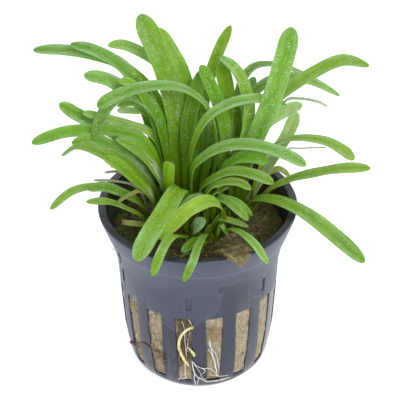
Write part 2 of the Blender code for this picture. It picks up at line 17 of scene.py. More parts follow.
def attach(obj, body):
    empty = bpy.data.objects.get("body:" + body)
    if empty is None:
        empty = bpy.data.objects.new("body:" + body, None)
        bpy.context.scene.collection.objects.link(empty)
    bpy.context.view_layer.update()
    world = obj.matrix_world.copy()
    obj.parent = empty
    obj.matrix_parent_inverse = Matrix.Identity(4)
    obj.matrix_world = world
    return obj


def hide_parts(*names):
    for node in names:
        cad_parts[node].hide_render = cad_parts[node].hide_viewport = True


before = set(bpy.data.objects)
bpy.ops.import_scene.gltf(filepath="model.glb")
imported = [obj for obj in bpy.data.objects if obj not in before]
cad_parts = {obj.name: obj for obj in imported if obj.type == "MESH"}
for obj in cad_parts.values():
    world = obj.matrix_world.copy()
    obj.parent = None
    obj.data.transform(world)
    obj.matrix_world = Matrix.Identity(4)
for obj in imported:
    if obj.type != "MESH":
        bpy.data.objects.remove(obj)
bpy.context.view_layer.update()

MM = 0.001
BODY = "root"
FRONT = -math.pi / 2

# ---- seeds of the random draws ----
LEAF_SEED, CROWN_SEED, TUFT_SEED, FIBRE_SEED, FUZZ_SEED, ROOT_SEED = 100, 300, 11, 5, 23, 41

# ---- leaves ----
STALK_SHARE = 0.58  # usual width of the stalk end against the blade's widest place
BLADE_FULL_AT = 0.62  # share of the length at which the blade is widest
FOLD = 0.20  # depth of the channel against half the width
GROOVE, RIB = (0.16, 0.10), (0.45, 0.16)  # height against the thickness, half width against the blade's
TIP_LENGTHS = {"blunt": 0.95, "tapered": 1.5, "pointed": 2.1, "stub": 0.45, "cut": 0.0}  # against the width
LEAF_THICKNESS = 0.55  # mm, at the midrib of a full blade
EDGE_THICKNESS = 0.22  # against the thickness at the midrib
SWAY = math.radians(5)  # the most that a blade wavers about its roll
BODY_RINGS, TIP_RINGS, ACROSS = 34, 9, 13  # points of a blade's mesh
TIP_TURN = 88  # degrees of the round tip that its rings cover; at 90 it would close
TINT_DRIFT = (0.08, 0.06, 0.12)  # the most that a leaf's red, green and blue stray
SKIN_STEP = 137.0  # mm between two leaves in the pattern of beads and streaks
UNDERSIDE_STEP = 40  # mm between the two sides of a leaf in that pattern
LIGHTER_FROM, LIGHTER_OVER = 52, 42  # mm: painted shade and light, leaves get lighter from this height, over this rise
LOW_LIGHT, LIGHTER_BY = 0.84, 0.18  # a low leaf's brightness under painted shade, and how much it gains over that rise

# The fields of a leaf:
#   width in mm; tint: a word of TINTS; route: points in mm from the crown to the tip
#   roll: degrees at the crown, along the blade and at the tip; positive lifts the left edge, looking
#     along the leaf from its crown
#   tip: a word of TIP_LENGTHS; stalk: width of the stalk end against the blade's
#   green: how green a pale leaf's stalk is, and how much painted shade darkens it near the crown
#   film: share of the length from which the water film's painted sheen shows more, and how much more
#   shine: a wet shine part way along, as share of the length, spread and strength
#   brown: the share from which a cut end is brown
#   beads: 0 is none, 0.5 fine beads only, 1 large ones too; net: how clearly the net of cells shows
Leaf = namedtuple("Leaf", "width tint route roll tip stalk green film shine brown beads net",
                  defaults=((0, 0), "blunt", STALK_SHARE, 1.0, None, None, None, 0.4, 0.2))
LEAVES = {
    # the main rosette, left of the middle
    "main_01": Leaf(3.6, "painted_veil", ((-8.6, 9.2, 46), (-12, 14, 62), (-15.7, 18, 75.6), (-20.6, 20.5, 83.6),
        (-28.5, 22.5, 85.8), (-36.5, 24, 86.3), (-45, 25, 85.9)), roll=(-20, -40, -20), tip="tapered",
        beads=0.5),
    "main_02": Leaf(3.4, "deep", ((-6.5, 10.3, 46), (-8.5, 14, 59.3), (-12.5, 15.3, 71.3), (-16.7, 16, 81),
        (-22, 18, 86.2), (-28.5, 19.5, 89.1), (-34.2, 21, 90)), roll=(-20, -40, -20), tip="tapered",
        film=(0.4, 0.3), beads=0.6),
    "main_03": Leaf(4.1, "fresh", ((-9.8, 6.9, 46), (-9.8, 10.5, 61.5), (-11.2, 12.4, 70.8),
        (-17.2, 12, 78.3), (-23.5, 13, 83), (-30.5, 14, 84.3)), roll=(-20, -40, -25), film=(0.5, 0.6)),
    "main_04": Leaf(4.1, "painted_veil", ((-9.9, 4.6, 46), (-15, 7, 59.5), (-22, 10, 67.2), (-29, 11.5, 70.6),
        (-33.4, 11.5, 73.6), (-37.5, 11, 77.1)), roll=(-10, -30), film=(0.5, 0.6)),
    "main_05": Leaf(3.8, "painted_veil", ((-0.4, 4, 46), (5, 4, 61), (5, 4, 72.5), (2.5, 5, 79.6), (-2, 6, 83.6),
        (-7.5, 6.5, 85.1), (-14.5, 6, 85), (-21.5, 5.5, 82.7), (-26.7, 5, 79.8)), roll=(0, 0, -30),
        stalk=0.36, beads=0.7),
    "main_06": Leaf(4.3, "deep", ((-7.5, 5.1, 46), (-8.4, 6, 62), (-10.2, 6.3, 74.2), (-12, 7.2, 77.6),
        (-14.5, 8.2, 80.1), (-18, 8.8, 81.4), (-21, 8.3, 81), (-23.8, 6.8, 78.8), (-25.9, 4.8, 75.4),
        (-27.9, 2.3, 71)), roll=(-20, -35, -30), tip="tapered", beads=0.75),
    "main_07": Leaf(3.6, "fresh", ((-6.3, 2.7, 46), (-11.3, 3.2, 63.5), (-15, 4.3, 69.6), (-21.5, 5.5, 71.7),
        (-28.5, 7, 71), (-36.5, 6.8, 70.4), (-45, 5, 68.3)), roll=(-10, -35, -30), tip="tapered", stalk=0.5,
        beads=0.2),
    "main_08": Leaf(2.4, "light", ((-7.1, 7.9, 46), (-8.8, 9, 60), (-12.3, 8.8, 68.4), (-18, 9.2, 71.2),
        (-24, 9, 73.4), (-31, 9, 75.4)), roll=(-20, -40, -30), net=0.7),
    "main_09": Leaf(3.6, "fresh", ((-8.6, 2.4, 46), (-13, 2.9, 57), (-18, 2, 65.3), (-22.5, 1.7, 68.7),
        (-28, 3.6, 70.3), (-34, 3.6, 69.1)), roll=(-10, -35), tip="tapered", shine=(0.42, 0.16, 1.0)),
    "main_10": Leaf(3.6, "fresh", ((-11.2, 0.5, 46), (-14.3, -0.6, 56.8), (-22, -1.9, 66.6),
        (-27, -2.5, 70.4), (-32, -1.5, 71.2), (-36.5, -1.5, 68.5)), roll=(-10, -35, 10), tip="pointed",
        shine=(0.35, 0.1, 0.4), net=0.7),
    "main_11": Leaf(3.8, "fresh", ((-7.5, 0.8, 46), (-9.5, 0, 57.5), (-12.8, -0.5, 65.4), (-16.9, -0.5, 70.2),
        (-21.8, 0, 72.9)), roll=(-10, -35), tip="pointed", shine=(0.5, 0.15, 1.0)),
    "main_12": Leaf(3.9, "bright", ((-10.6, -1.4, 46), (-12.8, -3.5, 56.5), (-16.5, -4.2, 62),
        (-21, -4.5, 67.2), (-25.2, -4.5, 69.9)), roll=(-10, -35), tip="tapered", shine=(0.35, 0.1, 1.1)),
    "main_13": Leaf(6.0, "painted_veil", ((-4.6, 9.3, 46), (-5.3, 11.4, 59.8), (-5.8, 12.6, 72.7), (-8.4, 14.5, 85),
        (-11.6, 17, 92.8), (-15, 19.5, 99.8)), roll=(-20, -40), beads=0.8),
    "main_14": Leaf(4.2, "fresh", ((-2.1, 10.1, 46), (-2, 14.3, 58.6), (-2, 15.5, 73), (-3.9, 18, 82.5),
        (-7.2, 20.5, 88.5), (-10.7, 23, 93.5)), roll=(-10, -30), beads=0.6),
    "main_15": Leaf(4.6, "deep", ((-2.8, 6.8, 46), (-2.5, 8.5, 59.5), (-2.3, 9.5, 70), (-0.6, 11, 78),
        (1.7, 13.5, 85.9)), tip="tapered"),
    "main_16": Leaf(3.5, "bright", ((-5.9, -0.2, 46), (-7.9, -3.1, 59.2), (-7.6, -3.6, 67.6)), tip="stub",
        beads=0.3),
    "main_17": Leaf(3.2, "painted_veil", ((-2.5, 1.6, 46), (-2, 0.8, 64), (0.5, 0, 75), (5, 1, 80.5), (11.5, 4, 81.8),
        (17.5, 8, 79.8), (24.5, 10.5, 76)), roll=(0, 20), stalk=0.42),
    "main_18": Leaf(4.1, "painted_veil", ((-1.5, -2.6, 46), (-1.5, -2.8, 63), (2, -2.8, 68.5), (7.5, -2.5, 71.5),
        (14.5, -2.5, 71.9), (22, -2.5, 69.5), (29.4, -2.5, 65.3)), roll=(0, 25), stalk=0.36, beads=0.5),
    "main_19": Leaf(3.2, "light", ((0.1, 13.5, 46), (-3, 18, 60), (-7.5, 19.5, 73.8), (-10.3, 21.5, 82.6),
        (-15, 23.5, 85.6), (-20, 25, 87.2), (-24.4, 26, 86.7)), roll=(0, -30), tip="tapered", stalk=0.4,
        net=0.5),
    # the right rosette
    "right_01": Leaf(4.0, "deep", ((6, 5.5, 46), (6.7, 7.5, 58.5), (7.6, 8, 69.7), (5.4, 9.5, 78.7),
        (1.1, 11.5, 88.5)), beads=0.75),
    "right_02": Leaf(4.3, "fresh", ((7, 8.5, 46), (6.7, 11.5, 57.5), (7.8, 13, 70), (8.3, 15, 78.3),
        (6.6, 17.5, 86))),
    "right_03": Leaf(3.6, "fresh", ((2, 11.4, 46), (1.8, 13.5, 59), (1.8, 16.5, 69.6), (3.3, 18.5, 78.5),
        (6, 21, 86.4), (9.6, 23.5, 93.9)), tip="pointed", beads=0.7, net=0.4),
    "right_04": Leaf(3.8, "painted_veil", ((9.5, 5.5, 46), (10, 6, 59.5), (13.4, 7, 70), (13.9, 8.5, 79),
        (10.9, 11, 86.7), (6.4, 13, 90.2)), roll=(0, 15), beads=0.8),
    "right_05": Leaf(2.7, "painted_veil", ((8.8, 11.2, 46), (8.9, 16.6, 61), (11.5, 20.6, 73.4), (13.6, 22.1, 78.9),
        (17.2, 24, 81), (24, 25.2, 79.9), (30.9, 25.6, 76.6)), roll=(0, 10), stalk=0.4),
    "right_06": Leaf(3.7, "painted_veil", ((11.5, 10.8, 46), (11, 15, 64.5), (15.5, 18, 74.9), (22.5, 20, 79),
        (30.6, 21, 77.8), (39.9, 21, 72.6)), roll=(0, 15), tip="pointed", stalk=0.4, beads=0.6),
    "right_07": Leaf(5.4, "painted_veil", ((11.8, 3.8, 46), (13, 4, 60.7), (16.3, 3.5, 71), (19.8, 4.5, 80.5),
        (22.7, 6.5, 90.5), (25.4, 10, 100.8)), roll=(30, 55), film=(0.4, 3.0), beads=1.0),
    "right_08": Leaf(4.1, "fresh", ((10, 8, 46), (12.7, 10, 58), (17.6, 12.5, 71.7), (24, 14.5, 77.6),
        (31, 16, 82.3), (39.5, 17, 86.2), (47.2, 17, 84.5)), roll=(0, 20), tip="pointed", stalk=0.45,
        beads=0.6),
    "right_09": Leaf(4.1, "pale", ((13, 10, 46), (14.5, 13, 56), (18.5, 15.5, 65.6), (24, 17.5, 69.3),
        (29.4, 19, 71.2)), roll=(0, 15), green=0.35, beads=0.7, net=1.0),
    "right_10": Leaf(4.6, "pale", ((14.3, 8, 46), (18, 8.5, 53.5), (21.9, 10, 60.5), (25.2, 12, 65.7),
        (27.9, 14, 71.7)), roll=(0, 15), green=0.2, net=1.0),
    "right_11": Leaf(3.7, "fresh", ((14.5, 5.7, 46), (16.3, 4, 58), (20.4, 4, 66.8), (27, 5, 68.8),
        (34.6, 6, 67.3), (39.1, 6, 64.8), (43.3, 6, 61.4)), roll=(0, -20, 30), stalk=0.36),
    "right_12": Leaf(3.7, "yellow", ((14.9, 3.2, 46), (19.5, 2.5, 53.5), (25.5, 2, 57.5), (32.5, 1.5, 59.9),
        (40, 1, 61.6), (47.2, 0.5, 62)), roll=(0, 20), tip="tapered", stalk=0.42, green=0.6, net=0.6),
    "right_13": Leaf(4.8, "fresh", ((12.2, 1.3, 46), (15, -1, 52.8), (21.5, -3, 54), (29.3, -6, 51.6),
        (37.4, -10, 46.7), (45.2, -15, 41.6)), roll=(0, 15), tip="tapered", stalk=0.62),
    "right_14": Leaf(4.4, "bright", ((7.4, 1.6, 46), (6, -0.8, 60), (9.5, -0.5, 65.2), (14, -0.5, 66.8),
        (19, -1, 65.7)), roll=(0, 20), tip="stub"),
    # the front rosette
    "front_01": Leaf(3.4, "fresh", ((0, -4, 46), (0.5, -3, 57), (4, -4.5, 62.3), (9.5, -5, 65.2),
        (15.5, -5.5, 64.2), (20.5, -6, 62)), roll=(0, 20), stalk=0.42),
    "front_02": Leaf(3.2, "fresh", ((4.2, -4, 46), (4.9, -3.6, 54.6), (7.6, -5.2, 55.8), (10.5, -7.4, 54.5),
        (13.7, -9.1, 51.8)), roll=(0, 15), tip="tapered"),
    "front_03": Leaf(2.4, "yellow", ((5.8, -8.1, 46), (8.3, -12.5, 51.5), (12, -18, 53.8), (15.2, -23.5, 54),
        (18.3, -27.5, 51)), tip="pointed", stalk=0.45, film=(0.6, 0.6)),
    "front_04": Leaf(5.5, "bright", ((-2.2, -4, 46), (-4, -4.4, 57.6), (-5.3, -8.5, 61.4), (-9, -15, 58.7),
        (-12.9, -21, 55.5), (-16.2, -26.7, 51.8)), roll=(0, -10), film=(0.72, 0.6), beads=0.5),
    "front_05": Leaf(4.2, "lime", ((5, -6.5, 46), (6.8, -8, 54), (3.5, -10, 59), (-2, -13, 58.7),
        (-6, -15.3, 56), (-10.3, -17.5, 52)), roll=(0, -25, -20), tip="pointed", beads=0.3),
    "front_06": Leaf(2.9, "painted_veil", ((2, -5.2, 46), (2.6, -5.5, 55), (1.6, -6.2, 57.8), (-1.5, -7.5, 57.8),
        (-5.5, -8.4, 54.4)), shine=(0.6, 0.14, 1.0), beads=0.8),
    "front_07": Leaf(2.7, "bright", ((-2.9, -7.6, 46), (-4, -16.4, 52), (-7, -21.6, 55.7),
        (-9.5, -25.5, 53.9), (-12, -28.5, 48.3)), tip="tapered", film=(0.66, 1.2), beads=0.3),
    "front_08": Leaf(2.8, "bright", ((0.6, -10.4, 46), (0.5, -11.7, 48), (-0.7, -13.5, 48.6),
        (-4.2, -18.2, 48)), stalk=0.5, film=(0.8, 1.2), beads=0.25),
    "front_09": Leaf(2.3, "fresh", ((2.4, -9.7, 46), (2.4, -13, 50.2), (1.3, -18, 52.9), (-0.3, -24.5, 53.7),
        (-1.4, -28.5, 52.7), (-3.8, -31, 48.2)), tip="pointed", film=(0.72, 1.3), beads=0.3),
    "front_10": Leaf(3.8, "silver", ((-1, -8.4, 46), (-1, -9.4, 49), (0.3, -10.3, 51.6), (2.1, -10.5, 53.4)),
        roll=(30, 65), stalk=0.5, film=(0.6, 0.7), beads=0.7),
    # the left rosette
    "left_01": Leaf(3.1, "yellow", ((-14.3, 1, 46), (-16, 2, 50), (-21.5, 1.5, 54.2), (-27.5, 1, 56.4),
        (-34.2, 0, 55.6), (-40.6, -1, 50.5)), roll=(0, -15), tip="tapered", stalk=0.42),
    "left_02": Leaf(3.3, "fresh", ((-13, -1, 46), (-16, -2, 53), (-21, -2.7, 57), (-25.5, -3.3, 59.3),
        (-29.8, -3.7, 58.8)), roll=(0, -25), tip="tapered", net=0.6),
    "left_03": Leaf(2.4, "yellow", ((-13.6, -3.2, 46), (-15, -5, 50.3), (-18, -5.5, 52.8), (-24, -6, 56.2),
        (-30.2, -6.5, 56.7)), roll=(0, -20), tip="pointed", stalk=0.45),
    "left_04": Leaf(2.4, "straw", ((-11.3, -3.5, 46), (-15.5, -8, 50), (-20.5, -9, 51.4)), roll=(0, -10),
        tip="cut", green=0.3, brown=0.9),
    # low leaves that arch over the back of the rim
    "back_01": Leaf(4.0, "deep", ((2, 14.8, 46), (2, 19, 57), (2.2, 27, 62), (2.5, 37, 57))),
    "back_02": Leaf(4.2, "fresh", ((4.4, 13.6, 46), (7, 18, 57), (11.5, 25, 62), (16, 32, 59))),
}
# small leaves between the large ones, and thin ones that stand on edge; they have no solid of their own
SMALL_LEAVES = {
    "small_front_01": Leaf(2.7, "fresh", ((1.5, -4.6, 45.5), (2.6, -6, 59), (6.7, -7, 62.8),
        (10.8, -7.4, 63.2), (14.4, -8, 61.4)), roll=(0, 20)),
    "small_front_02": Leaf(2.0, "fresh", ((4.5, -1.5, 45.5), (6.7, -2.5, 54), (11, -3.5, 54),
        (15, -4.5, 50.1)), roll=(0, 15), tip="pointed"),
    "small_front_03": Leaf(1.9, "fresh", ((3.5, -5.4, 45), (5.6, -7.2, 51), (9.5, -8.3, 51),
        (13.8, -9.4, 49.9)), roll=(0, 15), tip="pointed"),
    "small_front_04": Leaf(1.4, "fresh", ((5, -10.5, 46), (6.2, -11.3, 51.8), (7.2, -12.2, 50.8),
        (8.5, -13.2, 49.3)), tip="pointed"),
    "small_front_05": Leaf(1.5, "fresh", ((3, -3, 46), (4, -3, 55.5), (6.2, -3, 57.4), (8.4, -3, 58.8))),
    "small_front_06": Leaf(1.0, "olive", ((-1.5, -14.6, 45), (-3, -16, 46), (-5, -17.2, 45.7))),
    "small_left_01": Leaf(1.3, "olive", ((-12, -2.5, 46), (-12.2, -4, 55), (-15.3, -5, 58.9),
        (-17.8, -5.5, 58.5), (-20.2, -6, 57.3), (-22, -6.5, 56)), roll=(0, -20), tip="pointed"),
    "small_left_02": Leaf(0.9, "grey", ((-13.2, 0.2, 46), (-15.2, 0.6, 54), (-17.8, 1, 56.8),
        (-20.5, 1.5, 57.5), (-24.4, 2, 57.8), (-28.5, 2, 57.9))),
    "small_left_03": Leaf(1.0, "grey", ((-9, 1, 46), (-16, 1, 58), (-21, 0.5, 61.5), (-25.2, 0, 61.8))),
    "small_left_04": Leaf(0.9, "grey", ((-9, 1.6, 46), (-16.5, 1.5, 60), (-23.6, 0.8, 63.3))),
    # fill leaves: dark blades deep among the others, tinted with painted shade
    "fill_front_01": Leaf(3.2, "shade", ((1, -5, 45.5), (2.2, -6, 51), (3.5, -6.5, 56)), roll=(0, 10),
        tip="pointed"),
    "fill_front_02": Leaf(3.0, "shade", ((3, -7, 45.5), (4.4, -7.6, 50.5), (6, -8, 53.5)), roll=(0, 10),
        tip="pointed"),
    "fill_front_03": Leaf(2.8, "shade", ((-1, -7, 45.5), (-0.6, -7.6, 50), (0, -8, 53)), tip="pointed"),
    "fill_front_04": Leaf(3.0, "shade", ((5, -4, 45.5), (7, -4.5, 52), (8.8, -5, 55.5)), roll=(0, 10),
        tip="pointed"),
    "fill_front_05": Leaf(3.2, "shade", ((7, -1.4, 45.5), (8.4, -1.8, 51), (9.6, -2, 54.5)), roll=(0, 10),
        tip="pointed"),
    "fill_front_06": Leaf(2.6, "shade", ((2, -8.5, 45.5), (2.6, -9, 48.5), (3.4, -9.4, 51)), tip="pointed"),
    "fill_front_07": Leaf(3.4, "shade", ((0, -2, 45.5), (1.5, -3, 55), (3, -3.6, 60)), roll=(0, 10),
        tip="pointed"),
    "fill_front_08": Leaf(2.8, "shade", ((-3, -6, 45.5), (-4, -7, 51), (-4.8, -7.6, 55)), tip="pointed"),
    "fill_main_01": Leaf(3.4, "yellow", ((-10, 1.2, 46), (-13.5, 1, 56.5), (-18, 0.4, 63.3), (-22, 0, 67.3),
        (-26, -0.2, 69.3)), roll=(-10, -35), tip="pointed"),
    "small_main_01": Leaf(2.8, "fresh", ((-7, 8.6, 46), (-9, 10.5, 66), (-13.4, 10.3, 75.8),
        (-17.5, 10.3, 77.6), (-21.6, 10.3, 76.6)), roll=(0, -30), tip="pointed"),
    "small_main_07": Leaf(2.6, "fresh", ((-7, 7, 46), (-11.5, 7.6, 72), (-15, 8, 82), (-18, 8, 85.4),
        (-20.8, 8, 85.8)), roll=(0, -35)),
    "small_main_02": Leaf(2.0, "pale", ((-4, 11.2, 46), (-6.5, 15.8, 60), (-13, 16.5, 70.2),
        (-16.5, 16.5, 71), (-19.3, 16.5, 71.3), (-22.1, 16.5, 71.3)), roll=(0, -30), green=0.3, net=0.8),
    "small_main_03": Leaf(2.1, "fresh", ((-4.6, 11.4, 46), (-7.5, 17.5, 60), (-10.2, 19, 72.2),
        (-13.7, 20, 77.9), (-17, 20.8, 81), (-21.6, 21.5, 84.7)), roll=(0, -40)),
    "small_main_04": Leaf(3.0, "deep", ((0, 5, 46), (2.6, 7, 58), (4.7, 8.5, 68), (5.6, 9.5, 75))),
    "small_main_05": Leaf(3.4, "deep", ((-5.5, 8.4, 46), (-8, 10, 60), (-10.4, 12.5, 70), (-15.2, 16, 80)),
        roll=(0, -25)),
    "small_main_06": Leaf(2.6, "deep", ((-0.6, 9, 46), (0.3, 11.5, 57), (0.8, 13, 66), (0.3, 14.5, 73))),
    "small_right_01": Leaf(0.5, "grey", ((14, 9.6, 46), (19, 9, 58), (25.2, 8, 63.6), (27.4, 8, 63.8),
        (30.7, 8, 63.9), (35.6, 8, 64)), tip="pointed"),
    "small_right_02": Leaf(1.2, "grey", ((13, 11.4, 46), (17.5, 12, 64), (23.8, 12, 76.1), (28.1, 12, 77.3),
        (33, 12, 76.3), (35.9, 12, 74.7)), tip="pointed"),
    "small_right_03": Leaf(1.8, "olive", ((14.5, 8.8, 46), (18.5, 9.3, 53), (22.2, 10, 55.6),
        (24.5, 10, 54.5), (26, 10, 52.8)), roll=(0, 30), tip="tapered"),
    "small_right_04": Leaf(2.8, "silver", ((6.5, 12.5, 46), (9.5, 19, 62), (13.4, 21.8, 72),
        (16.2, 22.5, 78.1)), roll=(0, 40)),
    "small_right_05": Leaf(2.6, "deep", ((9, 9.5, 46), (10.6, 11.5, 57), (11.5, 13, 66), (11.2, 14.5, 74))),
}


def linear(code):
    """Linear colour of a #rrggbb code."""
    values = [int(code[i:i + 2], 16) / 255 for i in (1, 3, 5)]
    return tuple(v / 12.92 if v <= 0.04045 else ((v + 0.055) / 1.055) ** 2.4 for v in values)


# blade colour of the leaves, and how strongly each one's painted sheen shows: a silvery film of reflected
# light
TINTS = {
    "fresh": ("#82ae0e", 0.6), "deep": ("#6a9a0a", 0.7), "bright": ("#86b604", 0.35),
    "painted_veil": ("#78a41c", 1.0), "yellow": ("#96be24", 0.6), "pale": ("#dcebb8", 0.4),
    "light": ("#a2c858", 0.8), "lime": ("#a2ca34", 0.3), "straw": ("#b9c262", 0.3),
    "olive": ("#9aa446", 0.3), "silver": ("#94b67e", 0.9), "grey": ("#c0c7b4", 0.3),
    # shade: painted shade, for the fill leaves deep among the others
    "shade": ("#5c8406", 0.0),
}
STALK_TINT = linear("#7d9f08")
CUT_TINT = linear("#a98a5c")

# ---- pot: (radius, height) in mm ----
POT_OUTSIDE = (
    (27.5, 51.6), (27.3, 50.4), (25.4, 44.9), (25.2, 44.5), (23.8, 40.5), (22.7, 35.5),
    (21.9, 21.0), (21.3, 12.0), (20.4, 5.6), (19.5, 2.2), (17.7, 0.0),
)
POT_INSIDE = (
    (17.0, 1.2), (19.0, 5.4), (20.2, 12.4), (20.8, 21.0), (21.5, 35.7), (22.5, 40.8),
    (24.1, 44.9), (25.3, 50.8), (25.3, 51.6),
)
FLOOR_THICKNESS = 1.2
WALL_HALF = 0.6  # mm under the outer face, where the inside's finish starts
POT_STEPS = 192
SLOTS = {"count": 16, "width": 4.9, "foot": 0.73, "bottom": 3.9, "top": 28.0, "inner": 15.5, "outer": 25.0}
SLOT_STEP = 2 * math.pi / SLOTS["count"]
FLOOR_SLOTS = {"count": 8, "width": 2.4, "start": 6.5, "end": 14.0}
MARKS = {"angles": (-67, -7, 52, 113, 173, 233), "width": 1.5, "height": 4.4, "middle": 33.6, "depth": 0.35,
         "wall": 22.55}

# upper line of the wet film on the pot's wall: (degrees to the right of the front, height in mm)
WET_ABOVE = (
    (-90, 0), (-57, 0), (-54, 30.5), (-46, 30.5), (-39.5, 29.1), (-30, 26), (-20.6, 23.8), (-10, 24),
    (1.7, 27.1), (9.2, 28.7), (12.9, 29.9), (15.6, 32.0), (16.8, 34.2), (17.0, 39.9), (27, 40.2),
    (36.5, 39.8), (36.7, 34.2), (37.5, 33), (40.1, 32.1), (46.7, 30), (49, 30), (50, 27.5), (75, 27.5),
    (78, 0), (90, 0),
)
# the rounded ends of the wet film's upper left and right: angle, height and half sizes, in degrees and mm
LOBES = ((15.9, 38.3, 3.5, 1.8), (38.5, 38.9, 6.5, 0.95))

# ---- wool and moss, in mm ----
WOOL_TOP = 43.6
RIM_RADIUS = 27.5
# the wool's rise to the front right, under the moss
BANK_CENTRE = (10.5, -18.5)
BANK_SPREAD = 6.5
BANK_HEIGHT = 5.4
WOOL_GAP = 0.35  # mm between the plug and the wall
WOOL_PAST_SLOT = 0.45  # mm that the wool's bulge reaches beyond a slot's edge
WOOL_UNDER_FACE, WOOL_SUNK = 0.42, 0.9  # mm under the wall's outer face, and deeper still in the hollow
# the wool's patches, by degrees to the right of the front between which each one fades in or out
WOOL_STAINED = (-24, -30)
WOOL_HOLLOW = ((-19, -15), (-5, -8))
WOOL_DARK_FOOT = (-26, -30)
HOLLOW_FROM, HOLLOW_TO, HOLLOW_FOOT = -20, -4, 9  # the sunk wool itself: degrees, and mm up
# x, y and radius in mm
CROWNS = {
    "crown_main": (-5.0, 5.5, 6.0),
    "crown_right": (10.0, 6.0, 6.0),
    "crown_back": (2.5, 13.0, 3.4),
    "crown_front": (1.0, -6.5, 5.0),
    "crown_left": (-13.5, -1.5, 3.8),
}
CROWN_TOP = 0.8  # mm above the wool
STUB_SHAPE = (1.0, 1.05, 1.0, 0.9, 0.7, 0.25)  # width of a leaf base along its height
STUB_TURN = 2.4  # radians round the crown from one leaf base to the next
TUFTS, THREADS, TOP_FIBRES, SLOT_FIBRES = 3400, 2600, 240, 700  # how many are tried; some are left out
TUFT_REACH, FIBRE_REACH = 23.0, 22.5  # mm from the axis
FIBRE_STEP = 0.45  # mm along a fibre in a slot
TOP_FIBRE, SLOT_FIBRE = 0.04, 0.035  # mm, radii
THREAD_SHAPE = (0.035, 0.035, 0.03, 0.025, 0.012)  # mm, radii along a thread
WOOL_AROUND, WOOL_RINGS, WOOL_LEVELS = 384, 56, 96  # points of the plug's mesh
FLAP_ROWS, FLAP_COLUMNS = 46, 31
# heap of moss behind the tongue: x, y, spread in x and y, height, in mm
HEAP = (8.0, -19.0, 6.5, 5.0, 3.9)
# tongue of moss over the rim: (distance from the axis, height), and its widths, in mm
FLAP_ROUTE = ((21.5, 50.8), (24.3, 52.5), (26.5, 52.75), (28.6, 52.1), (29.05, 50.6))
FLAP_WIDTHS = (7.0, 8.0, 7.6, 4.3, 1.3)
FLAP_TURN = math.radians(23.0)  # to the right of the front
FLAP_OUT = np.array([math.sin(FLAP_TURN), -math.cos(FLAP_TURN), 0])
FLAP_SIDE = np.array([math.cos(FLAP_TURN), math.sin(FLAP_TURN), 0])

# ---- roots: radius and route in mm ----
ROOTS = {
    "root_thick": (0.4, ((-1.6, -22.9, 26), (-3.3, -22.7, 24.9), (-4.9, -22.2, 22.4), (-5.6, -21.9, 19.4),
                         (-5.4, -21.8, 17), (-4.6, -21.8, 14.4), (-3.6, -21.7, 12.2), (-3, -21.7, 10.9))),
    "root_long": (0.25, ((-2.0, -22.0, 13.0), (-1.7, -21.9, 9.8), (-0.8, -21.3, 6.9), (0.9, -20.9, 5.1),
                         (2.6, -20.6, 4.2), (5.6, -19.9, 4.0), (8.6, -19.0, 4.3))),
    "root_short": (0.25, ((2.9, -21.3, 20.2), (3.5, -21.9, 15.9), (4.3, -21.7, 12.0), (4.9, -21.2, 7.4))),
}
# fine roots: radius, how far off the wall, and the route as (x, z), in mm
PALE_ROOTS = (
    (0.15, 0.22, ((-1.8, 12.5), (-0.85, 10.8), (1, 9.6), (2.6, 9.5), (3.6, 8.6), (4.9, 6.3), (5.5, 5.2))),
    (0.13, 0.25, ((-0.85, 10.8), (1.2, 9.2), (1.5, 8.2), (0.8, 7.2))),
    (0.14, 0.25, ((-1.65, 9.7), (-1.4, 7.2), (-1.5, 5.4), (-1.05, 2.2))),
    (0.13, 0.22, ((-1.3, 7.2), (-0.3, 5.4), (-0.6, 2.6))),
    (0.13, 0.22, ((-4, 12.2), (-4, 6.7), (-3.75, 5.4), (-4.6, 4.6), (-5.5, 4.8), (-6, 3.6))),
    (0.11, -0.5, ((-4.7, 26.8), (-4, 24.3), (-3.9, 19), (-3.5, 13.5))),
    (0.13, -0.3, ((-2.9, 28.3), (-2.1, 26.1), (-1.7, 25.3))),
    (0.10, -0.4, ((-2.4, 23.4), (-2.9, 20.6), (-3.3, 17.2), (-3.7, 14.3))),
    (0.12, 0.2, ((2.5, 17.2), (3.4, 14.9), (4.2, 12.4))),
    (0.12, 0.2, ((2.4, 20.4), (3.2, 17.5), (4.6, 14.8), (5.2, 11.5), (5.6, 8.4))),
    (0.11, 0.2, ((2.6, 6.9), (4.4, 6.0), (6.2, 5.2), (8.2, 4.9))),
    (0.10, 0.2, ((-1.6, 11.6), (-0.2, 8.8), (0.9, 5.6), (2.0, 4.6))),
)
BROWN_ROOTS = (
    (0.11, -0.35, ((-1.7, 23.5), (-1.3, 21.4), (-2.1, 18.8), (-1.7, 15.8))),
    (0.10, -0.4, ((-3.2, 25.6), (-2.7, 22.6), (-3.0, 19.6), (-2.6, 16.4))),
    (0.16, 0.15, ((-18.9, 9.4), (-17.8, 10.8), (-15.7, 13.7), (-14, 13.4), (-12.5, 12.8), (-11.1, 13.3),
                  (-9.4, 13.3))),
    (0.12, 0.2, ((-13.4, 14.9), (-12.2, 13.6), (-10.8, 12.3), (-9.2, 12.8))),
    (0.12, 0.15, ((-13.0, 12.4), (-11.6, 13.9), (-10.2, 11.9), (-9.0, 11.4))),
    (0.10, 0.1, ((-12.2, 11.3), (-10.9, 10.4), (-9.8, 9.4), (-8.9, 9.8))),
    (0.10, 0.15, ((-12.6, 9.8), (-11.2, 11.4), (-9.4, 10.6))),
    (0.14, 0.1, ((-18.2, 8.4), (-17.6, 9.6), (-16.9, 10.2))),
    (0.24, 0.05, ((-21.7, 44.0), (-21.5, 41.8), (-21.3, 40.2))),
    (0.20, 0.05, ((-21.5, 39.2), (-21.4, 38.4), (-21.5, 37.4))),
    (0.08, 0.6, ((-22.2, 46.2), (-22.9, 44.8), (-23.5, 43.2))),
)
